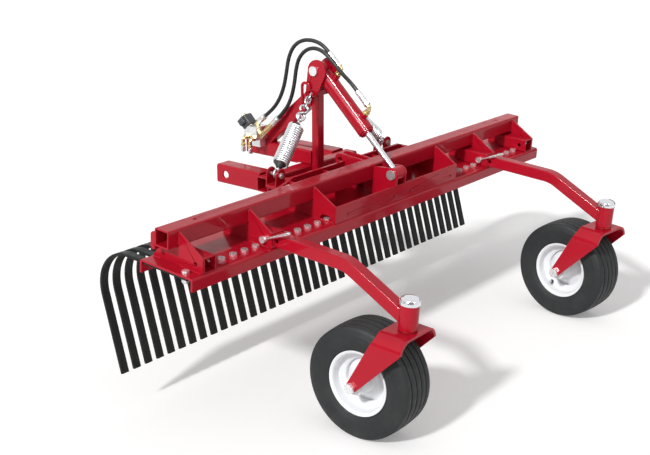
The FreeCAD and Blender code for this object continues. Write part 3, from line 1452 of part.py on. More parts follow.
def rod_fitting(front):
    """A crimped sleeve that runs straight into the valve's front."""
    end, heading = route_end(HOSE_ROD_ROUTE)
    run = (front - end.y) / heading.y
    sleeve = rod(tuple(end), tuple(end + heading * (run + 20)), FERRULE_RADIUS + 1)
    behind = box(end.x - 60, end.x + 60, front, front + 60, end.z - 120, end.z + 60)
    return sleeve.cut(behind)


def main():
    os.makedirs("parts", exist_ok=True)
    build_head()
    build_arms()
    build_lock_pins()
    build_hitch()
    build_cylinder()
    build_springs()
    build_valve()
    for name, solids in parts.items():
        shape = solids[0] if len(solids) == 1 else Part.makeCompound(solids)
        if not shape.isValid():
            print("not valid:", name)
        shape.exportStep("parts/" + name + ".step")
    print(len(parts), "nodes", sum(len(Part.makeCompound(s).Solids) for s in parts.values()), "solids")


main()
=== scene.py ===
import json
import math

import bmesh
import bpy
from mathutils import Matrix, Vector


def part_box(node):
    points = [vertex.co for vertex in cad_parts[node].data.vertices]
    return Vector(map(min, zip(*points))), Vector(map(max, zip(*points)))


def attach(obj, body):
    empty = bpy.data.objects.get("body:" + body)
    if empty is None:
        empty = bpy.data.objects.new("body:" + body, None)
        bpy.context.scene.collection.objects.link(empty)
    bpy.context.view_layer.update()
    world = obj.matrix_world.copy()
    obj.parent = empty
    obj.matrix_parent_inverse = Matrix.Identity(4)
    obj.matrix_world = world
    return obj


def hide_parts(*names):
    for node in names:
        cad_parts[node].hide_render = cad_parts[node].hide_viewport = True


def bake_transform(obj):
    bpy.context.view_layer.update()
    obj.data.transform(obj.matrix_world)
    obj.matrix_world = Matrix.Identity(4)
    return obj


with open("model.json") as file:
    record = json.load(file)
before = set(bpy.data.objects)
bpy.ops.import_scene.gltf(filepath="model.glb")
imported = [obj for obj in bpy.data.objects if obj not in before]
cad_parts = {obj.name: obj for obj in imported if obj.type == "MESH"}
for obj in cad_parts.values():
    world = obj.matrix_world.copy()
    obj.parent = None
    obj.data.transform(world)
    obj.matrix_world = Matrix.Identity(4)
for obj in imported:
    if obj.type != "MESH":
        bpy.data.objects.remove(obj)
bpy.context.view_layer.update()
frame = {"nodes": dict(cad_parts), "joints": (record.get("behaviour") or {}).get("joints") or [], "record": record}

# ---- the frame's layout, in metres from the hitch centre ---------------------------------
JOINTS = {joint["name"]: joint for joint in frame["joints"]}
SIDES = ("left", "right")
X_AXIS = Vector((1, 0, 0))
Y_AXIS = Vector((0, 1, 0))
Z_AXIS = Vector((0, 0, 1))
CENTRE_X = 0.022                                # the mast's middle, from the channel's middle
ORIGIN = Vector((CENTRE_X, 0.560, 0.5085))      # the hitch centre, as ground() counts
FLOOR_Z = -ORIGIN.z
HEAD_LEAN = math.radians(3.95)
WEB_HEIGHT = 0.4727                             # the channel's top face above the floor
UPPER_PIN = Vector(JOINTS["cylinder_swing"]["pos_m"])
ALONG = Vector(JOINTS["rod_slide"]["axis"]).normalized()
OUTWARD = Vector((0, ALONG.z, -ALONG.y))

# ---- the photograph's camera -------------------------------------------------------------
CAMERA_PLACE = (-2.9491, -2.6380, 1.0372)
CAMERA_TURN = (math.radians(72.07), 0, math.radians(-50.99))
CAMERA_LENS = 64.66
SENSOR_WIDTH = 36

# ---- hoses: the route of each from its ferrule on the cylinder to the valve --------------
HOSE_RADIUS = 0.0065
HOSE_CAP_ROUTE = [
    (0.022, 0.316, 0.9395), (0.019, 0.356, 0.953), (0.013, 0.399, 0.951), (0.006, 0.432, 0.929),
    (0.001, 0.450, 0.889), (-0.003, 0.456, 0.840), (-0.007, 0.465, 0.787), (-0.012, 0.484, 0.740),
    (-0.017, 0.511, 0.705), (-0.022, 0.546, 0.676),
]
HOSE_ROD_ROUTE = [
    (0.022, 0.2005, 0.8285), (0.005, 0.227, 0.860), (-0.003, 0.260, 0.898), (-0.004, 0.297, 0.926),
    (-0.005, 0.336, 0.934), (-0.005, 0.372, 0.922), (-0.006, 0.399, 0.894), (-0.007, 0.411, 0.855),
    (-0.008, 0.417, 0.808), (-0.011, 0.428, 0.758), (-0.016, 0.450, 0.713), (-0.021, 0.486, 0.677),
]

# ---- cylinder: its two ports, the hoses' ferrules and the rod's painted eye --------------
PORT_STATIONS = (0.057, 0.218)                  # along the cylinder from the upper pin
PORT_FACE = 0.039
PORT_NUT = (0.022, 0.009)                       # across the flats, and height
ELBOW_RADIUS = 0.0080
ELBOW_BEND = 0.012
ELBOW_HEIGHT = 0.066
ELBOW_REACH = 0.020
ELBOW_TUCK = 0.003                              # how far an elbow's ends run into what holds them
SWIVEL_NUT = (0.0195, 0.0105)
FERRULE_RADIUS = 0.0095
FERRULE_LENGTH = 0.052
FERRULE_BANDS = 5
LOWER_PIN = UPPER_PIN + ALONG * 0.432
ROD_PAINT = 0.027

# ---- valve -------------------------------------------------------------------------------
VALVE_LEAN = Vector((0, 1, 1)).normalized()
VALVE_TIP = 0.009                               # the cartridge's tip, in from the coil's far corner
COIL_HALVES = (0.0195, 0.0195, 0.0200)
COIL_BELOW_TIP = 0.030
COIL_PLUG_HALVES = (0.008, 0.0125, 0.0115)
COIL_PLUG_PLACE = (0.024, 0.004)                # out from the coil's middle, and up along it
CARTRIDGE_NUT = (0.018, 0.008)
CARTRIDGE_NUT_DROP = 0.0105
VALVE_ELBOWS = ((0.18, 0.039), (0.72, 0.036))   # share of the block's depth, and drop from its top
VALVE_ELBOW_RADIUS = 0.0062
VALVE_ELBOW_BEND = 0.011
VALVE_ELBOW_DROP = 0.020
VALVE_ELBOW_NUT = (0.018, 0.008)
VALVE_CAP_NUT = (0.016, 0.008)
VALVE_SLEEVE = (0.036, 0.0105)                  # length, and radius
VALVE_SLEEVE_TUCK = 0.012                       # how much of its hose a sleeve covers

# ---- springs and the chains above them ---------------------------------------------------
SPRING_OFFSETS = {"left": -0.295, "right": 0.270}
SPRING_BOLT = (0.278, 0.084)                    # y and z in the head's own frame
SPRING_BOLT_ROOM = 0.0053                       # the bolt's radius, and a little clearance
ANCHOR = (0.049, 0.333, 0.783)                  # a chain's lug on the mast, from the mast's middle
SPRING_RADIUS = 0.027
SPRING_WIRE = 0.0035
SPRING_PITCH = 2.16 * SPRING_WIRE
SPRING_EYE = 0.011
SPRING_START = 0.095                            # shares of the way from the bolt to the lug
SPRING_STOP = 0.61
SPRING_HOOK = 0.73
S_HOOK_SHARES = (SPRING_HOOK - 0.055, 0.852)
LINK_SHARES = (0.870, 0.926, 0.980)
S_HOOK_RADIUS = 0.0130
S_HOOK_WIRE = 0.0042
S_HOOK_FACE = Vector((-0.7, -0.7, 0.1))         # the side that the S shows its shape to
LINK_HALF = 0.0140
LINK_BEND = 0.0080
LINK_WIRE = 0.0030
PLUG_LENGTH = 0.020

# ---- wheels: (along the axle, radius) ----------------------------------------------------
TYRE_RADIUS = 0.1655
TYRE_HALF = 0.064
TREAD_RIBS = 5
RIB_PITCH = 0.023
RIB_HALF = 0.0098
RIB_SHOULDER = (0.0010, 0.0006)
GROOVE_DEPTH = 0.0042
GROOVE_FLARE = 0.00034
CROWN_DROP = 0.003
SIDEWALL_RINGS = ((0.1035, 0.0007), (0.1120, 0.0008), (0.1440, 0.0008))     # radius, and height
RING_WIDTH = 0.0010
DISC_WALL = (0.0032, 0.0012)
STEM_TOWARD = {"left": (0, -0.55, 0.83), "right": (0, 0.605, -0.796)}
STEM_PLACE = (-0.0235, 0.0775)                  # along the axle, and out from it
STEM_LEAN = (-0.93, -0.37)

# ---- caster barrels, in the head's own frame ---------------------------------------------
ARM_OFFSET = 0.5705
BARREL_Y = -0.459
BARREL_TOP = -0.029
BARREL_RADIUS = 0.0270
CAP_ROLL = [(0.0000, 0.0270), (0.0000, 0.0288), (0.0014, 0.0297), (0.0100, 0.0297), (0.0114, 0.0290),
            (0.0118, 0.0276), (0.0126, 0.0272)]
CAP_SHOULDER = 0.0126
CAP_DOME = 0.0098

# ---- welds -------------------------------------------------------------------------------
WELD_PITCH = 0.0042
WELD_SINK = 0.0008
HEAD_WELD = 0.0026
MOUTH_WELD = 0.0018
MAST_WELD = 0.003
GUSSETS_X = (-0.871, -0.596, CENTRE_X - 0.328, CENTRE_X + 0.328, 0.596, 0.871)
GUSSET_HALF = 0.003
FRONT_BEAD = (0.012, 0.091)                     # along the gusset's foot, before the beam
REAR_BEAD = (0.1627, 0.1897)                    # and behind it
BEAM_FRONT = 0.0937
BEAM_BEAD = (0.058, 0.094)                      # up the beam's front face
MOUTH_HALF = 0.0215
MOUTH_Y = 0.0018
MOUTH_BEAD = (0.006, 0.047)
MAST_HALF = 0.015
MAST_BACK = 0.3565
BAR_HALF = 0.020
BAR_FRONT = 0.3575
BAR_CORNER_BEAD = (0.540, 0.580)
BAR_EDGE_BEAD = (0.410, 0.500)
BAR_FOOT = 0.5348
BASE_TOP = 0.5345

# ---- floor -------------------------------------------------------------------------------
FLOOR_RADIUS = 30
FLOOR_GAP = 0.0005
FLOOR_COLOR = (0.93, 0.922, 0.918, 1)
FLOOR_GLOW = 0.20


def ground(x, y, z):
    """A point given from the floor, the channel's middle and its front flange."""
    return Vector((x, y, z)) - ORIGIN


def head(x, y, z):
    """A point given in the leaning rake head's own frame."""
    lean = Matrix.Rotation(HEAD_LEAN, 3, "X")
    return lean @ Vector((x, y, z)) + Vector((0, 0, WEB_HEIGHT)) - ORIGIN


def on_cylinder(station, height):
    """A point this far along the cylinder from its upper pin, and this high over its axis."""
    return UPPER_PIN + ALONG * station + OUTWARD * height


# ---- materials ---------------------------------------------------------------------------
class Recipe:
    """A material being built: its principled shader, and short ways to wire nodes to it."""

    def __init__(self, name, color, roughness, metallic=0.0):
        self.material = bpy.data.materials.new(name)
        self.material.use_nodes = True
        self.nodes = self.material.node_tree.nodes
        self.links = self.material.node_tree.links
        self.shader = self.nodes["Principled BSDF"]
        self.shader.inputs["Base Color"].default_value = (*color, 1)
        self.shader.inputs["Roughness"].default_value = roughness
        self.shader.inputs["Metallic"].default_value = metallic
        self.place = self.nodes.new("ShaderNodeTexCoord").outputs["Object"]

    def coat(self, weight, roughness):
        self.shader.inputs["Coat Weight"].default_value = weight
        self.shader.inputs["Coat Roughness"].default_value = roughness
        return self

    def specular(self, level):
        self.shader.inputs["Specular IOR Level"].default_value = level
        return self

    def noise(self, scale, detail, stretch=None):
        """A noise value over the piece's own space, drawn out along it by stretch."""
        node = self.nodes.new("ShaderNodeTexNoise")
        node.inputs["Scale"].default_value = scale
        node.inputs["Detail"].default_value = detail
        source = self.place
        if stretch:
            mapping = self.nodes.new("ShaderNodeMapping")
            mapping.inputs["Scale"].default_value = stretch
            self.links.new(source, mapping.inputs["Vector"])
            source = mapping.outputs["Vector"]
        self.links.new(source, node.inputs["Vector"])
        return node.outputs["Fac"]

    def tint(self, value, first, second, start=0.35, end=0.65):
        """Base colour that runs from first to second as value goes from start to end."""
        node = self.nodes.new("ShaderNodeValToRGB")
        node.color_ramp.elements[0].position = start
        node.color_ramp.elements[0].color = (*first, 1)
        node.color_ramp.elements[1].position = end
        node.color_ramp.elements[1].color = (*second, 1)
        self.links.new(value, node.inputs["Fac"])
        self.links.new(node.outputs["Color"], self.shader.inputs["Base Color"])
        return self

    def rough(self, value, low, high):
        """Roughness that runs from low to high over the middle of value's range."""
        node = self.nodes.new("ShaderNodeMapRange")
        node.inputs["From Min"].default_value = 0.35
        node.inputs["From Max"].default_value = 0.65
        node.inputs["To Min"].default_value = low
        node.inputs["To Max"].default_value = high
        self.links.new(value, node.inputs["Value"])
        self.links.new(node.outputs["Result"], self.shader.inputs["Roughness"])
        return self

    def bump(self, value, strength, distance):
        node = self.nodes.new("ShaderNodeBump")
        node.inputs["Strength"].default_value = strength
        node.inputs["Distance"].default_value = distance
        self.links.new(value, node.inputs["Height"])
        self.links.new(node.outputs["Normal"], self.shader.inputs["Normal"])
        return self


def paint(name, color, dark):
    """Gloss machine paint: slow tone changes, fine orange peel and a thin clear top coat."""
    recipe = Recipe(name, color, 0.36)
    recipe.tint(recipe.noise(4.0, 2.0), dark, color)
    recipe.rough(recipe.noise(26.0, 2.0), 0.30, 0.42)
    recipe.bump(recipe.noise(320.0, 1.0), 0.04, 0.0004)
    return recipe.specular(0.08).coat(0.34, 0.07).material


def plated(name, color, low, high, metallic=1.0):
    """Plated or bare metal with a slightly mottled finish."""
    recipe = Recipe(name, color, (low + high) / 2, metallic)
    dull = tuple(0.86 * channel for channel in color)
    recipe.tint(recipe.noise(60.0, 3.0), dull, color)
    recipe.rough(recipe.noise(138.0, 2.0), low, high)
    return recipe.material


def polished(name, color, roughness):
    """Chrome plate: even and mirror bright."""
    return Recipe(name, color, roughness, 1.0).material


def tine_finish():
    """Dark oil-tempered spring steel, rubbed lighter in streaks down each bar."""
    recipe = Recipe("tine_steel", (0.012, 0.014, 0.013), 0.46)
    streaks = recipe.noise(60.0, 4.0, (3.0, 0.6, 0.6))
    recipe.tint(streaks, (0.004, 0.005, 0.005), (0.012, 0.014, 0.013), 0.38, 0.72)
    recipe.rough(recipe.noise(45.0, 3.0), 0.38, 0.54)
    recipe.bump(recipe.noise(400.0, 2.0), 0.10, 0.0003)
    return recipe.specular(0.20).material


def rubber(name, color, pale, low, high, grain):
    """Black rubber with a paler, dusty bloom and a fine grain."""
    recipe = Recipe(name, color, low)
    recipe.tint(recipe.noise(14.0, 6.0), color, pale, 0.42, 0.72)
    recipe.rough(recipe.noise(60.0, 4.0), low, high)
    recipe.bump(recipe.noise(grain, 3.0), 0.12, 0.0004)
    return recipe.specular(0.28).material


def plastic(name, color, low, high):
    """Moulded plastic with a fine even grain."""
    recipe = Recipe(name, color, low)
    recipe.rough(recipe.noise(120.0, 3.0), low, high)
    recipe.bump(recipe.noise(900.0, 2.0), 0.15, 0.0003)
    return recipe.material


RED = paint("red_paint", (0.43, 0.0042, 0.0185), (0.40, 0.0036, 0.0170))
ZINC = plated("zinc", (0.76, 0.77, 0.79), 0.22, 0.34)
# A brighter, less metallic copy of the zinc for the fasteners: painted highlight, so that they look bright rather
# than mirroring the red paint round them.
ZINC_PAINTED_HIGHLIGHT = plated("zinc_painted_highlight", (0.86, 0.87, 0.88), 0.20, 0.30, metallic=0.72)
STEEL = plated("cylinder_steel", (0.45, 0.46, 0.48), 0.28, 0.45)
CHROME = polished("chrome", (0.72, 0.73, 0.76), 0.07)
BRONZE = plated("bronze", (0.55, 0.36, 0.18), 0.30, 0.45)
BRASS = plated("brass", (0.66, 0.53, 0.28), 0.20, 0.32)
ALLOY = plated("valve_alloy", (0.78, 0.79, 0.81), 0.30, 0.44)
TINE = tine_finish()
RUBBER = rubber("hose_rubber", (0.020, 0.021, 0.022), (0.034, 0.035, 0.036), 0.36, 0.50, 700.0)
TYRE = rubber("tyre_rubber", (0.017, 0.019, 0.020), (0.026, 0.028, 0.028), 0.52, 0.66, 420.0)
WHITE = paint("rim_white", (0.83, 0.84, 0.86), (0.78, 0.79, 0.81))
COIL = plastic("coil_plastic", (0.042, 0.048, 0.054), 0.42, 0.55)
PLUG = plastic("spring_plug", (0.018, 0.019, 0.020), 0.45, 0.60)

FINISHES = {
    "red_paint": RED, "zinc": ZINC, "tine_steel": TINE, "chrome": CHROME,
    "cylinder_steel": STEEL, "bronze": BRONZE, "brass": BRASS, "valve_alloy": ALLOY,
    "coil_plastic": COIL, "hose_rubber": RUBBER, "tyre_rubber": TYRE, "rim_white": WHITE,
}
FASTENERS = (
    "tine_bolts", "lower_pin", "upper_pin", "lock_pin_left", "lock_pin_right", "axle_bolt_left",
    "axle_bolt_right", "spring_bolts",
)

# ---- CAD nodes: finish and softened edges ------------------------------------------------
EDGE_WIDTH = 0.0010
EDGE_WIDTHS = {
    "tines_left": 0.0008, "tines_right": 0.0008, "tine_bolts": 0.0007, "tine_nuts": 0.0007,
    "rake_channel": 0.0012, "upper_beam": 0.0012, "spring_chains": 0.0, "port_fittings": 0.0005,
    "caster_fork_left": 0.0018, "caster_fork_right": 0.0018,
}


def dress_nodes():
    """Gives each CAD node the finish of its slot; the fasteners get a brighter, less metallic copy of the zinc, a
    painted highlight.
    """
    slots = {part["node"]: part["material_slot"] for part in frame["record"]["subparts"]}
    for name, node in frame["nodes"].items():
        material = ZINC_PAINTED_HIGHLIGHT if name in FASTENERS else FINISHES[slots[name]]
        node.data.materials.clear()
        node.data.materials.append(material)
        soften(node, EDGE_WIDTHS.get(name, EDGE_WIDTH))


def soften(node, width):
    """Rounds a CAD node's sharp edges and smooths its curved faces, with modifiers only."""
    node.data.polygons.foreach_set("use_smooth", [True] * len(node.data.polygons))
    join = node.modifiers.new("join", "WELD")
    join.merge_threshold = 0.00001
    if width:
        bevel = node.modifiers.new("edges", "BEVEL")
        bevel.width = width
        bevel.segments = 2
        bevel.limit_method = "ANGLE"
        bevel.angle_limit = math.radians(35)
        bevel.use_clamp_overlap = True
        bevel.harden_normals = True
    normals = node.modifiers.new("normals", "WEIGHTED_NORMAL")
    normals.keep_sharp = True


def paint_rod_eye():
    """The gland and the rod's eye are painted; only the sliding part of the rod is chrome."""
    gland = frame["nodes"]["cylinder_gland"]
    gland.data.materials[0] = RED
    rod = frame["nodes"]["cylinder_rod"]
    rod.data.materials.append(RED)
    to_local = rod.matrix_world.inverted()
    pin = to_local @ LOWER_PIN
    along = (to_local.to_3x3() @ ALONG).normalized()
    for face in rod.data.polygons:
        if (face.center - pin).dot(along) > -ROD_PAINT:
            face.material_index = 1


# ---- mesh builders -----------------------------------------------------------------------
def finish_mesh(name, bm, material, body, angle=35):
    """Turns a bmesh into a smooth-shaded piece; a piece with no body is left unattached."""
    mesh = bpy.data.meshes.new(name)
    bmesh.ops.recalc_face_normals(bm, faces=bm.faces)
    bm.to_mesh(mesh)
    bm.free()
    mesh.polygons.foreach_set("use_smooth", [True] * len(mesh.polygons))
    mesh.set_sharp_from_angle(angle=math.radians(angle))
    mesh.materials.append(material)
    piece = bpy.data.objects.new(name, mesh)
    bpy.context.scene.collection.objects.link(piece)
    if body:
        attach(piece, body)
    return piece


def frame_from(axis):
    """A rotation whose Z runs along axis."""
    return Vector(axis).normalized().to_track_quat("Z", "Y").to_matrix()


def on_circle(radius, angle, level=0.0):
    """A point on a circle about Z."""
    return Vector((radius * math.cos(angle), radius * math.sin(angle), level))


def skin(bm, rings, caps):
    """Joins each ring of vertices to the next with quads, and closes both ends if caps is set."""
    count = len(rings[0])
    for one, two in zip(rings, rings[1:]):
        for step in range(count):
            after = (step + 1) % count
            bm.faces.new((one[step], one[after], two[after], two[step]))
    if caps:
        bm.faces.new(rings[0][::-1])
        bm.faces.new(rings[-1])


def lathe(bm, profile, centre, axis, segments=96, closed=True):
    """Turns (along the axis, radius) points about an axis through centre.

    A closed profile comes back to its first point; an open one is capped at both ends."""
    turn = frame_from(axis)
    rings = []
    for along, radius in profile:
        angles = [2 * math.pi * step / segments for step in range(segments)]
        rings.append([bm.verts.new(Vector(centre) + turn @ on_circle(radius, a, along)) for a in angles])
    if closed:
        rings.append(rings[0])
    skin(bm, rings, not closed)


def tube(bm, points, radii, sides=12, caps=True):
    """A round tube through the points; radii is one radius or one for each point."""
    points = [Vector(p) for p in points]
    if not isinstance(radii, (list, tuple)):
        radii = [radii] * len(points)
    tangents = [(points[min(i + 1, len(points) - 1)] - points[max(i - 1, 0)]).normalized()
                for i in range(len(points))]
    across = tangents[0].orthogonal().normalized()
    rings = []
    for point, tangent, radius in zip(points, tangents, radii):
        across = (across - tangent * across.dot(tangent)).normalized()
        up = tangent.cross(across)
        ring = []
        for step in range(sides):
            angle = 2 * math.pi * step / sides
            spoke = across * math.cos(angle) + up * math.sin(angle)
            ring.append(bm.verts.new(point + spoke * radius))
        rings.append(ring)
    skin(bm, rings, caps)


def hexagon(bm, centre, axis, size):
    """A chamfered hexagon nut or head that starts at centre and rises along axis."""
    across, height = size
    corner = across / math.sqrt(3)
    turn = frame_from(axis)
    rings = []
    for level, scale in ((0, 0.90), (0.14, 1.0), (0.86, 1.0), (1.0, 0.90)):
        ring = []
        for step in range(6):
            local = on_circle(scale * corner, math.radians(60 * step + 15), level * height)
            ring.append(bm.verts.new(Vector(centre) + turn @ local))
        rings.append(ring)
    skin(bm, rings, True)


def arc_points(centre, start, across, radius, first, last, steps):
    """Points round part of a circle, in the plane of two unit vectors."""
    points = []
    for step in range(steps + 1):
        angle = first + (last - first) * step / steps
        points.append(centre + start * (radius * math.cos(angle)) + across * (radius * math.sin(angle)))
    return points


def rounded_line(corners, radius, steps=4, closed=False):
    """An outline with each corner turned into a short curve."""
    corners = [Vector(corner) for corner in corners]
    last = len(corners) - 1
    line = []
    for index, corner in enumerate(corners):
        if not closed and index in (0, last):
            line.append(corner)
            continue
        before = corners[index - 1] - corner
        after = corners[(index + 1) % len(corners)] - corner
        reach = min(radius, 0.45 * before.length, 0.45 * after.length)
        start = corner + before.normalized() * reach
        end = corner + after.normalized() * reach
        for step in range(steps + 1):
            share = step / steps
            line.append(start.lerp(corner, share).lerp(corner.lerp(end, share), share))
    return line


def mirrored(profile):
    """The other half of a profile that is even on both sides, in running order."""
    return [(-along, radius) for along, radius in reversed(profile)]


# ---- camera ------------------------------------------------------------------------------
def photo_camera():
    data = bpy.data.cameras.new("camera")
    data.lens = CAMERA_LENS
    data.sensor_width = SENSOR_WIDTH
    data.clip_end = 200
    camera = bpy.data.objects.new("camera", data)
    camera.location = CAMERA_PLACE
    camera.rotation_euler = CAMERA_TURN
    bpy.context.scene.collection.objects.link(camera)
    bpy.context.scene.camera = camera


# ---- hoses -------------------------------------------------------------------------------
def hose_line(route):
    """The hose's smooth centre line: a NURBS spline with the route's points as control points."""
    curve = bpy.data.curves.new("line", "CURVE")
    curve.dimensions = "3D"
    curve.resolution_u = 12
    spline = curve.splines.new("NURBS")
    spline.points.add(len(route) - 1)
    for point, place in zip(spline.points, route):
        point.co = (*place, 1)
    spline.order_u = 3
    spline.use_endpoint_u = True
    holder = bpy.data.objects.new("line", curve)
    bpy.context.scene.collection.objects.link(holder)
    mesh = bpy.data.meshes.new_from_object(holder)
    line = [vertex.co.copy() for vertex in mesh.vertices]
    bpy.data.objects.remove(holder)
    return line


def build_hose(node, name, route, station):
    """A hose that starts just behind its ferrule on the cylinder; the line is its centre line."""
    clear = 0.0003
    start = on_cylinder(station - ELBOW_REACH - FERRULE_LENGTH - clear, ELBOW_HEIGHT)
    line = hose_line([start] + [ground(*place) for place in route])
    bm = bmesh.new()
    tube(bm, line, HOSE_RADIUS, sides=20)
    piece = finish_mesh(name, bm, RUBBER, None)
    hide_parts(node)
    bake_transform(piece)
    return line


def build_hoses():
    cap_station, rod_station = PORT_STATIONS
    cap_line = build_hose("hose_cap_end", "hose_to_cap_end", HOSE_CAP_ROUTE, cap_station)
    rod_line = build_hose("hose_rod_end", "hose_to_rod_end", HOSE_ROD_ROUTE, rod_station)
    return cap_line, rod_line


# ---- cylinder fittings -------------------------------------------------------------------
def ferrule_profile(length, radius):
    """A crimped sleeve: a plain collar, then its pressed bands, then a rolled end."""
    profile = [(0, 0.72 * radius), (0.0005, 0.98 * radius), (0.006, radius)]
    pitch = (length - 0.012) / FERRULE_BANDS
    for band in range(FERRULE_BANDS):
        begin = 0.007 + band * pitch
        profile += [(begin, 0.90 * radius), (begin + 0.18 * pitch, 0.87 * radius),
                    (begin + 0.34 * pitch, 0.99 * radius), (begin + 0.86 * pitch, 0.99 * radius)]
    return profile + [(length - 0.003, radius), (length, 0.94 * radius), (length, 0.70 * radius)]


def build_port_fittings():
    """On each port a nut and a brass elbow, then the swivel nut and ferrule of its hose."""
    brass, sleeves = bmesh.new(), bmesh.new()
    for station in PORT_STATIONS:
        hexagon(brass, on_cylinder(station, PORT_FACE), OUTWARD, PORT_NUT)
        centre = on_cylinder(station - ELBOW_BEND, ELBOW_HEIGHT - ELBOW_BEND)
        line = [on_cylinder(station, PORT_FACE + 2 * ELBOW_TUCK)]
        line += arc_points(centre, ALONG, OUTWARD, ELBOW_BEND, 0, math.pi / 2, 10)
        line.append(on_cylinder(station - ELBOW_REACH - ELBOW_TUCK, ELBOW_HEIGHT))
        tube(brass, line, ELBOW_RADIUS, sides=24)
        hexagon(sleeves, on_cylinder(station - ELBOW_BEND - 0.001, ELBOW_HEIGHT), -ALONG, SWIVEL_NUT)
        collar = on_cylinder(station - ELBOW_REACH, ELBOW_HEIGHT)
        lathe(sleeves, ferrule_profile(FERRULE_LENGTH, FERRULE_RADIUS), collar, -ALONG, 40, closed=False)
    elbows = finish_mesh("port_elbows", brass, BRASS, "cylinder_barrel")
    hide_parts("port_fittings")
    finish_mesh("port_ferrules", sleeves, ZINC, "cylinder_barrel")


# ---- springs -----------------------------------------------------------------------------
def spring_ends(side):
    """The middle of the spring's bolt on the head, and of its chain's lug on the mast."""
    bolt_y, bolt_z = SPRING_BOLT
    low = head(CENTRE_X + SPRING_OFFSETS[side], bolt_y, bolt_z)
    offset, y, z = ANCHOR
    return low, ground(CENTRE_X + math.copysign(offset, SPRING_OFFSETS[side]), y, z)


def coil_line(begin, unit, length):
    """The centre line of a close-wound coil that starts at begin and runs along unit."""
    across = unit.cross(Y_AXIS).normalized()
    other = unit.cross(across)
    radius = SPRING_RADIUS - SPRING_WIRE
    steps = int(length / SPRING_PITCH) * 32
    line = []
    for step in range(steps + 1):
        angle = 2 * math.pi * step / 32
        spoke = across * math.cos(angle) + other * math.sin(angle)
        line.append(begin + unit * (length * step / steps) + spoke * radius)
    return line


def build_spring(side):
    """A coil with a tapered plug in each end, each holding a wire eye."""
    low, high = spring_ends(side)
    run = high - low
    unit = run.normalized()
    start, stop, top = (low + run * share for share in (SPRING_START, SPRING_STOP, SPRING_HOOK))
    inset = 0.45 * PLUG_LENGTH
    line = coil_line(start + unit * inset, unit, (stop - start).length - 2 * inset)
    bm = bmesh.new()
    tube(bm, line, SPRING_WIRE, sides=10)
    eye_low = low + unit * (SPRING_EYE - SPRING_WIRE - SPRING_BOLT_ROOM)
    eye_top = top - unit * SPRING_EYE
    plugs = bmesh.new()
    plug = [(-0.006, 0.0052), (-0.005, 0.0085), (0.004, 0.0150), (0.010, 0.0195),
            (0.62 * PLUG_LENGTH, 0.0200), (1.5 * PLUG_LENGTH, 0.0160), (1.5 * PLUG_LENGTH, 0.002)]
    for eye, end, direction in ((eye_low, start, unit), (eye_top, stop, -unit)):
        sideways = direction.cross(Y_AXIS).normalized()
        loop = arc_points(eye, direction, sideways, SPRING_EYE, 0, 2 * math.pi, 36)
        tube(bm, loop, SPRING_WIRE, sides=12, caps=False)
        shank = [eye + direction * SPRING_EYE, end + direction * 0.5 * PLUG_LENGTH]
        tube(bm, shank, SPRING_WIRE, sides=12)
        lathe(plugs, plug, end, direction, 40, closed=False)
    coil = finish_mesh("spring_coil_" + side, bm, ZINC, None, 50)
    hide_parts("spring_" + side)
    ends = finish_mesh("spring_plugs_" + side, plugs, PLUG, None)
    for piece in (coil, ends):
        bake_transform(piece)


def chain_link(bm, middle, unit, across):
    """A closed chain link: two straight sides and two round ends, long in the unit direction."""
    straight = LINK_HALF - LINK_BEND
    loop = arc_points(middle + unit * straight, across, unit, LINK_BEND, 0, math.pi, 12)
    loop += arc_points(middle - unit * straight, -across, -unit, LINK_BEND, 0, math.pi, 12)
    loop.append(loop[0])
    tube(bm, loop, LINK_WIRE, sides=10)


def s_hook(bm, low, high, across):
    """An S of bent wire whose two open eyes lie at low and high."""
    unit = (high - low).normalized()
    foot, top = low + unit * S_HOOK_RADIUS, high - unit * S_HOOK_RADIUS
    sway = across * (0.8 * S_HOOK_RADIUS)
    line = arc_points(foot, across, -unit, S_HOOK_RADIUS, -0.9, math.pi, 20)
    line += [foot.lerp(top, 0.3) - sway, foot.lerp(top, 0.7) + sway]
    line += arc_points(top, across, unit, S_HOOK_RADIUS, 0, math.pi + 0.9, 20)
    tube(bm, rounded_line(line, 0.004, 2), S_HOOK_WIRE, sides=12)


def build_hooks():
    """An S-hook and three links from each spring's eye up to its lug on the mast."""
    bm = bmesh.new()
    for side in SPRING_OFFSETS:
        low, high = spring_ends(side)
        run = high - low
        unit = run.normalized()
        across = unit.cross(S_HOOK_FACE).normalized()
        other = unit.cross(across)
        foot, top = (low + run * share for share in S_HOOK_SHARES)
        s_hook(bm, foot, top, across)
        for share, flat in zip(LINK_SHARES, (other, across, other)):
            chain_link(bm, low + run * share, unit, flat)
    hooks = finish_mesh("spring_hooks", bm, STEEL, "hitch_frame", 50)
    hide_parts("spring_chains")


# ---- valve -------------------------------------------------------------------------------
def rounded_block(bm, centre, axes, halves, bevel):
    """A box with rounded edges, on three axes of its own."""
    turn = Matrix(axes).transposed()
    made = bmesh.ops.create_cube(bm, size=1)
    for vert in made["verts"]:
        local = Vector(2 * half * value for half, value in zip(halves, vert.co))
        vert.co = centre + turn @ local
    edges = {edge for vert in made["verts"] for edge in vert.link_edges}
    bmesh.ops.bevel(bm, geom=list(edges), offset=bevel, segments=3, profile=0.5, affect="EDGES")


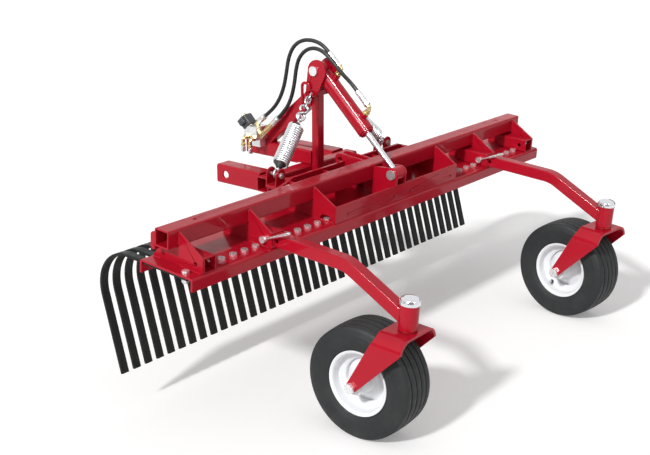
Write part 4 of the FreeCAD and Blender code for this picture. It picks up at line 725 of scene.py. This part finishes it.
def build_valve_elbows(block_low, block_high):
    """Two brass elbows on the block's outer face, each with a capped swivel nut that points down."""
    brass, nuts = bmesh.new(), bmesh.new()
    bend, root_length, root_tuck = VALVE_ELBOW_BEND, 0.010, 0.004
    cap = [(0, 0.0070), (0.001, 0.0078), (0.017, 0.0078), (0.019, 0.0060)]
    for share, drop in VALVE_ELBOWS:
        depth = block_low.y + share * (block_high.y - block_low.y)
        root = Vector((block_low.x, depth, block_high.z - drop))
        hexagon(brass, root, -X_AXIS, VALVE_ELBOW_NUT)
        centre = root - X_AXIS * root_length - Z_AXIS * bend
        foot = centre - X_AXIS * bend - Z_AXIS * VALVE_ELBOW_DROP
        line = [root - X_AXIS * root_tuck] + arc_points(centre, Z_AXIS, -X_AXIS, bend, 0, math.pi / 2, 8)
        tube(brass, line + [foot], VALVE_ELBOW_RADIUS, sides=20)
        hexagon(brass, foot + Z_AXIS * 0.012, -Z_AXIS, VALVE_CAP_NUT)
        lathe(nuts, cap, foot, -Z_AXIS, 28, closed=False)
    finish_mesh("valve_elbows", brass, BRASS, "hitch_frame")
    finish_mesh("valve_caps", nuts, ZINC, "hitch_frame")


def build_valve(cap_line, rod_line):
    """The leaning coil with its plug, the cartridge through it, the elbows and the hoses' sleeves."""
    coil_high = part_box("valve_coil")[1]
    block_low, block_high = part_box("valve_block")
    across = VALVE_LEAN.cross(X_AXIS).normalized()
    tip = Vector(((block_low.x + block_high.x) / 2, coil_high.y - VALVE_TIP, coil_high.z - VALVE_TIP))
    coil_middle = tip - VALVE_LEAN * COIL_BELOW_TIP
    plug_middle = coil_middle - X_AXIS * COIL_PLUG_PLACE[0] + VALVE_LEAN * COIL_PLUG_PLACE[1]
    coil = bmesh.new()
    rounded_block(coil, coil_middle, (X_AXIS, across, VALVE_LEAN), COIL_HALVES, 0.004)
    rounded_block(coil, plug_middle, (X_AXIS, across, VALVE_LEAN), COIL_PLUG_HALVES, 0.002)
    case = finish_mesh("valve_coil_case", coil, COIL, "hitch_frame")
    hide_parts("valve_coil")
    metal = bmesh.new()
    cartridge = [(-0.056, 0.012), (-0.020, 0.012), (-0.020, 0.008), (0.000, 0.008), (0.001, 0.006)]
    lathe(metal, cartridge, tip, VALVE_LEAN, 40, closed=False)
    hexagon(metal, tip - VALVE_LEAN * CARTRIDGE_NUT_DROP, VALVE_LEAN, CARTRIDGE_NUT)
    finish_mesh("valve_cartridge", metal, BRASS, "hitch_frame")
    build_valve_elbows(block_low, block_high)
    for line, name in ((cap_line, "cap"), (rod_line, "rod")):
        heading = (line[-1] - line[-3]).normalized()
        sleeve = bmesh.new()
        root = line[-1] - heading * VALVE_SLEEVE_TUCK
        lathe(sleeve, ferrule_profile(*VALVE_SLEEVE), root, heading, 40, closed=False)
        finish_mesh("valve_sleeve_" + name, sleeve, ZINC, "hitch_frame")


# ---- wheels ------------------------------------------------------------------------------
def ridge(radius, middle, height):
    """The height at this radius of a soft moulded ring about middle."""
    return height * math.exp(-((radius - middle) / RING_WIDTH) ** 2)


def crown(along):
    """The tread's radius this far from the tyre's middle."""
    tread_half = TREAD_RIBS * RIB_PITCH / 2
    return TYRE_RADIUS - CROWN_DROP * (along / tread_half) ** 2


def tread_profile():
    """The ribs from one side to the other, with a groove between each two."""
    inset, round_off = RIB_SHOULDER
    profile = []
    for rib in range(TREAD_RIBS):
        centre = (TREAD_RIBS // 2 - rib) * RIB_PITCH
        begin, end = centre + RIB_HALF, centre - RIB_HALF
        profile += [(begin, crown(begin) - round_off), (begin - inset, crown(begin)),
                    (centre, crown(centre)),
                    (end + inset, crown(end)), (end, crown(end) - round_off)]
        if rib < TREAD_RIBS - 1:
            floor = min(crown(begin), crown(centre), crown(end)) - GROOVE_DEPTH
            profile += [(end - GROOVE_FLARE, floor), (begin - RIB_PITCH + GROOVE_FLARE, floor)]
    return profile


def tyre_profile():
    """Sidewalls with faint moulded rings, the tread, and the casing's inside."""
    wall = [(0.0500, 0.0890), (0.0500, 0.0958), (0.0560, 0.0975), (0.0615, 0.1100),
            (0.0640, 0.1280), (0.0628, 0.1460), (0.0598, 0.1560), (0.0560, 0.1622)]
    half = []
    for along, radius in rounded_line(wall, 0.012, 8):
        rings = sum(ridge(radius, middle, height) for middle, height in SIDEWALL_RINGS)
        half.append((min(along + rings, TYRE_HALF), radius))
    inside = [(0.0440, 0.1500), (0.0500, 0.1200), (0.0400, 0.0890)]
    return half + tread_profile() + mirrored(half) + mirrored(inside) + inside


def rim_profiles():
    """The band with its rolled flanges and drop well, and one of its two dished discs."""
    outer = [(0.0560, 0.0915), (0.0566, 0.0950), (0.0540, 0.0956), (0.0505, 0.0940), (0.0503, 0.0880),
             (0.0260, 0.0860), (0.0200, 0.0660)]
    inner = [(0.0216, 0.0628), (0.0280, 0.0826), (0.0510, 0.0848), (0.0535, 0.0870)]
    band = rounded_line(outer + mirrored(outer) + mirrored(inner) + inner, 0.0035, closed=True)
    face = [(0.0080, 0.0640), (0.0125, 0.0560), (0.0205, 0.0465), (0.0220, 0.0400), (0.0205, 0.0345),
            (0.0240, 0.0300), (0.0240, 0.0262)]
    along_wall, radius_wall = DISC_WALL
    back = [(along - along_wall, radius - radius_wall) for along, radius in reversed(face)]
    return band, rounded_line(face + back, 0.004, closed=True)


def build_wheel(side):
    joint = JOINTS["wheel_spin_" + side]
    centre, axis = Vector(joint["pos_m"]), Vector(joint["axis"]).normalized()
    body = "wheel_" + side
    rubber_part = bmesh.new()
    lathe(rubber_part, tyre_profile(), centre, axis, 144)
    tyre = finish_mesh("tyre_casing_" + side, rubber_part, TYRE, body, 40)
    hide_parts("tyre_" + side)
    band, disc = rim_profiles()
    shell = bmesh.new()
    for profile in (band, disc, [(-along, radius) for along, radius in disc]):
        lathe(shell, profile, centre, axis, 128)
    rim = finish_mesh("rim_shell_" + side, shell, WHITE, body, 40)
    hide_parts("rim_" + side)
    build_valve_stem(side, centre, axis, body)


def build_valve_stem(side, centre, axis, body):
    """The inflation valve: a rubber stem through the rim's well, with a metal cap."""
    toward = Vector(STEM_TOWARD[side])
    outward = (toward - axis * toward.dot(axis)).normalized()
    base = centre + axis * STEM_PLACE[0] + outward * STEM_PLACE[1]
    lean = (axis * STEM_LEAN[0] + outward * STEM_LEAN[1]).normalized()
    stem, cap = bmesh.new(), bmesh.new()
    stem_profile = [(-0.002, 0.0075), (0.003, 0.0072), (0.006, 0.0048), (0.020, 0.0042)]
    cap_profile = [(0.020, 0.0040), (0.0205, 0.0046), (0.0285, 0.0044), (0.0300, 0.0034)]
    lathe(stem, stem_profile, base, lean, 24, closed=False)
    lathe(cap, cap_profile, base, lean, 24, closed=False)
    finish_mesh("tyre_valve_" + side, stem, PLUG, body)
    finish_mesh("tyre_valve_cap_" + side, cap, CHROME, body)


# ---- caster barrels ----------------------------------------------------------------------
def build_caster_tops():
    """A chromed grease cap on each swivel barrel: a rolled skirt under a domed top."""
    dome = []
    for step in range(12):
        angle = math.radians(8 * step)
        dome.append((CAP_SHOULDER + CAP_DOME * math.sin(angle), BARREL_RADIUS * math.cos(angle)))
    bm = bmesh.new()
    for side in SIDES:
        joint = JOINTS["caster_swivel_" + side]
        place, axis = Vector(joint["pos_m"]), Vector(joint["axis"]).normalized()
        axis = axis if axis.z > 0 else -axis
        lathe(bm, CAP_ROLL + dome, head(place.x + ORIGIN.x, BARREL_Y, BARREL_TOP), axis, closed=False)
    caps = finish_mesh("grease_caps", bm, CHROME, "rake_head", 30)
    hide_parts("swivel_caps")


# ---- welds -------------------------------------------------------------------------------
def ripple(distance):
    """How full a bead is this far along it."""
    return 0.86 + 0.14 * math.cos(2 * math.pi * distance / WELD_PITCH)


def weld(bm, start, end, size):
    """A rippled bead between two points."""
    start, end = Vector(start), Vector(end)
    length = (end - start).length
    steps = max(6, int(length / WELD_PITCH) * 4)
    points, radii = [], []
    for step in range(steps + 1):
        share = step / steps
        taper = min(1.0, 0.35 + 9.0 * min(share, 1 - share))
        points.append(start.lerp(end, share))
        radii.append(size * ripple(share * length) * taper)
    tube(bm, points, radii, sides=8)


def ring_weld(bm, centre, axis, radius, size):
    """A rippled bead all the way round an axis."""
    turn = frame_from(axis)
    steps = max(24, int(2 * math.pi * radius / WELD_PITCH) * 4)
    points, radii = [], []
    for step in range(steps + 1):
        angle = 2 * math.pi * step / steps
        points.append(Vector(centre) + turn @ on_circle(radius, angle))
        radii.append(size * ripple(angle * radius))
    tube(bm, points, radii, sides=8, caps=False)


def build_head_welds():
    """Beads along both sides of each gusset, round each swivel barrel and up each arm's mouth."""
    bm = bmesh.new()
    for x in GUSSETS_X:
        for edge in (x - GUSSET_HALF, x + GUSSET_HALF):
            front, back = FRONT_BEAD
            weld(bm, head(edge, front, WELD_SINK), head(edge, back, WELD_SINK), HEAD_WELD)
            low, high = BEAM_BEAD
            face = BEAM_FRONT - WELD_SINK
            weld(bm, head(edge, face, low), head(edge, face, high), HEAD_WELD)
            front, back = REAR_BEAD
            weld(bm, head(edge, front, WELD_SINK), head(edge, back, WELD_SINK), HEAD_WELD)
    low, high = MOUTH_BEAD
    for x in (-ARM_OFFSET, ARM_OFFSET):
        axis = head(x, 0, 1) - head(x, 0, 0)
        ring_weld(bm, head(x, BARREL_Y, BARREL_TOP + 0.0005), axis, BARREL_RADIUS + 0.0002, HEAD_WELD)
        for edge in (x - MOUTH_HALF, x + MOUTH_HALF):
            weld(bm, head(edge, MOUTH_Y, low), head(edge, MOUTH_Y, high), MOUTH_WELD)
    finish_mesh("head_welds", bm, RED, "rake_head", 60)


def build_mast_welds():
    """Beads across the mast's back, up the lower bar's front corner and along its lower edge."""
    bm = bmesh.new()
    left, right = CENTRE_X - MAST_HALF, CENTRE_X + MAST_HALF
    weld(bm, ground(left, MAST_BACK, BASE_TOP), ground(right, MAST_BACK, BASE_TOP), MAST_WELD)
    side = CENTRE_X - BAR_HALF
    low, high = BAR_CORNER_BEAD
    weld(bm, ground(side, BAR_FRONT, low), ground(side, BAR_FRONT, high), MAST_WELD)
    front, back = BAR_EDGE_BEAD
    weld(bm, ground(side, front, BAR_FOOT), ground(side, back, BAR_FOOT), MAST_WELD)
    finish_mesh("mast_welds", bm, RED, "hitch_frame", 60)


# ---- stage and light ---------------------------------------------------------------------
def ray_share(nodes, links):
    """1 for rays that come from the camera or a mirror or glass surface, and 0 for diffuse light."""
    paths = nodes.new("ShaderNodeLightPath")
    total = paths.outputs["Is Camera Ray"]
    for name in ("Is Glossy Ray", "Is Transmission Ray"):
        most = nodes.new("ShaderNodeMath")
        most.operation = "MAXIMUM"
        links.new(total, most.inputs[0])
        links.new(paths.outputs[name], most.inputs[1])
        total = most.outputs[0]
    return total


def build_world(level):
    """A white studio that is seen at full strength and lights the part at this level."""
    world = bpy.data.worlds.new("studio")
    world.use_nodes = True
    nodes, links = world.node_tree.nodes, world.node_tree.links
    background = nodes["Background"]
    background.inputs["Color"].default_value = (1, 1, 1, 1)
    strength = nodes.new("ShaderNodeMapRange")
    strength.inputs["To Min"].default_value = level
    strength.inputs["To Max"].default_value = 1.0
    links.new(ray_share(nodes, links), strength.inputs["Value"])
    links.new(strength.outputs["Result"], background.inputs["Strength"])
    bpy.context.scene.world = world


def build_floor():
    """A pale floor that keeps the part's shadow and fades into the white round it."""
    bm = bmesh.new()
    bmesh.ops.create_circle(bm, cap_ends=True, segments=96, radius=FLOOR_RADIUS)
    mesh = bpy.data.meshes.new("floor")
    bm.to_mesh(mesh)
    bm.free()
    floor = bpy.data.objects.new("floor", mesh)
    floor.location = (0, 0, FLOOR_Z - FLOOR_GAP)
    bpy.context.scene.collection.objects.link(floor)
    material = bpy.data.materials.new("floor")
    material.use_nodes = True
    nodes, links = material.node_tree.nodes, material.node_tree.links
    shader = nodes["Principled BSDF"]
    shader.inputs["Base Color"].default_value = FLOOR_COLOR
    shader.inputs["Roughness"].default_value = 0.9
    shader.inputs["Specular IOR Level"].default_value = 0.1
    glow = nodes.new("ShaderNodeMath")
    glow.operation = "MULTIPLY"
    glow.inputs[1].default_value = FLOOR_GLOW
    links.new(ray_share(nodes, links), glow.inputs[0])
    shader.inputs["Emission Color"].default_value = (1, 1, 1, 1)
    links.new(glow.outputs[0], shader.inputs["Emission Strength"])
    mesh.materials.append(material)


def place_light(name, data, place, heading):
    lamp = bpy.data.objects.new(name, data)
    lamp.location = place
    lamp.rotation_euler = heading.to_track_quat("-Z", "Y").to_euler()
    bpy.context.scene.collection.objects.link(lamp)
    return lamp


def sun(name, heading, strength, spread):
    data = bpy.data.lights.new(name, "SUN")
    data.energy = strength
    data.angle = math.radians(spread)
    place_light(name, data, Vector((0, 0, 4)), Vector(heading))


def glint(name, place, target, size, power):
    """A small lamp that only shows as a highlight on glossy surfaces."""
    data = bpy.data.lights.new(name, "AREA")
    data.shape = "DISK"
    data.size = size
    data.energy = power
    lamp = place_light(name, data, Vector(place), Vector(target) - Vector(place))
    lamp.visible_diffuse = False


def dark_card(name, centre, facing, width, height):
    """A black studio card that only reflections see, so that polished metal has contrast."""
    mesh = bpy.data.meshes.new(name)
    x, y = width / 2, height / 2
    mesh.from_pydata([(-x, -y, 0), (x, -y, 0), (x, y, 0), (-x, y, 0)], [], [(0, 1, 2, 3)])
    material = bpy.data.materials.new(name)
    material.use_nodes = True
    shader = material.node_tree.nodes["Principled BSDF"]
    shader.inputs["Base Color"].default_value = (0.02, 0.02, 0.02, 1)
    shader.inputs["Roughness"].default_value = 1.0
    mesh.materials.append(material)
    card = bpy.data.objects.new(name, mesh)
    card.location = centre
    card.rotation_euler = Vector(facing).to_track_quat("Z", "Y").to_euler()
    bpy.context.scene.collection.objects.link(card)
    card.visible_camera = False
    card.visible_diffuse = False
    card.visible_shadow = False
    card.visible_transmission = False


def build_light():
    build_world(0.50)
    sun("key", (0.80, 0.04, -0.58), 2.4, 5)
    glint("glint_left", (-3.3, -1.3, 2.3), (0.1, 0, 0), 0.7, 110)
    glint("glint_front", (-0.6, -4.0, 2.4), (0.1, 0, 0), 0.6, 60)
    glint("glint_cylinder", (-1.52, -1.49, 2.83), (0, -0.33, 0.26), 0.5, 90)
    dark_card("card_front", (-3.7, -3.9, 1.2), (0.7, 0.72, -0.15), 5.4, 2.2)
    dark_card("card_left", (-4.6, 1.5, 0.6), (1, -0.3, 0), 2.2, 1.3)
    dark_card("card_top", (-1.5, -1.7, 3.8), (0.36, 0.4, -0.86), 1.7, 1.1)
    dark_card("card_right", (3.6, -1.2, 0.3), (-1, 0.2, 0.1), 3.0, 1.2)


def main():
    photo_camera()
    cap_line, rod_line = build_hoses()
    dress_nodes()
    paint_rod_eye()
    build_port_fittings()
    for side in SIDES:
        build_spring(side)
    build_hooks()
    build_valve(cap_line, rod_line)
    for side in SIDES:
        build_wheel(side)
    build_caster_tops()
    build_head_welds()
    build_mast_welds()
    build_floor()
    build_light()
    bpy.context.scene.view_settings.view_transform = "Standard"


main()

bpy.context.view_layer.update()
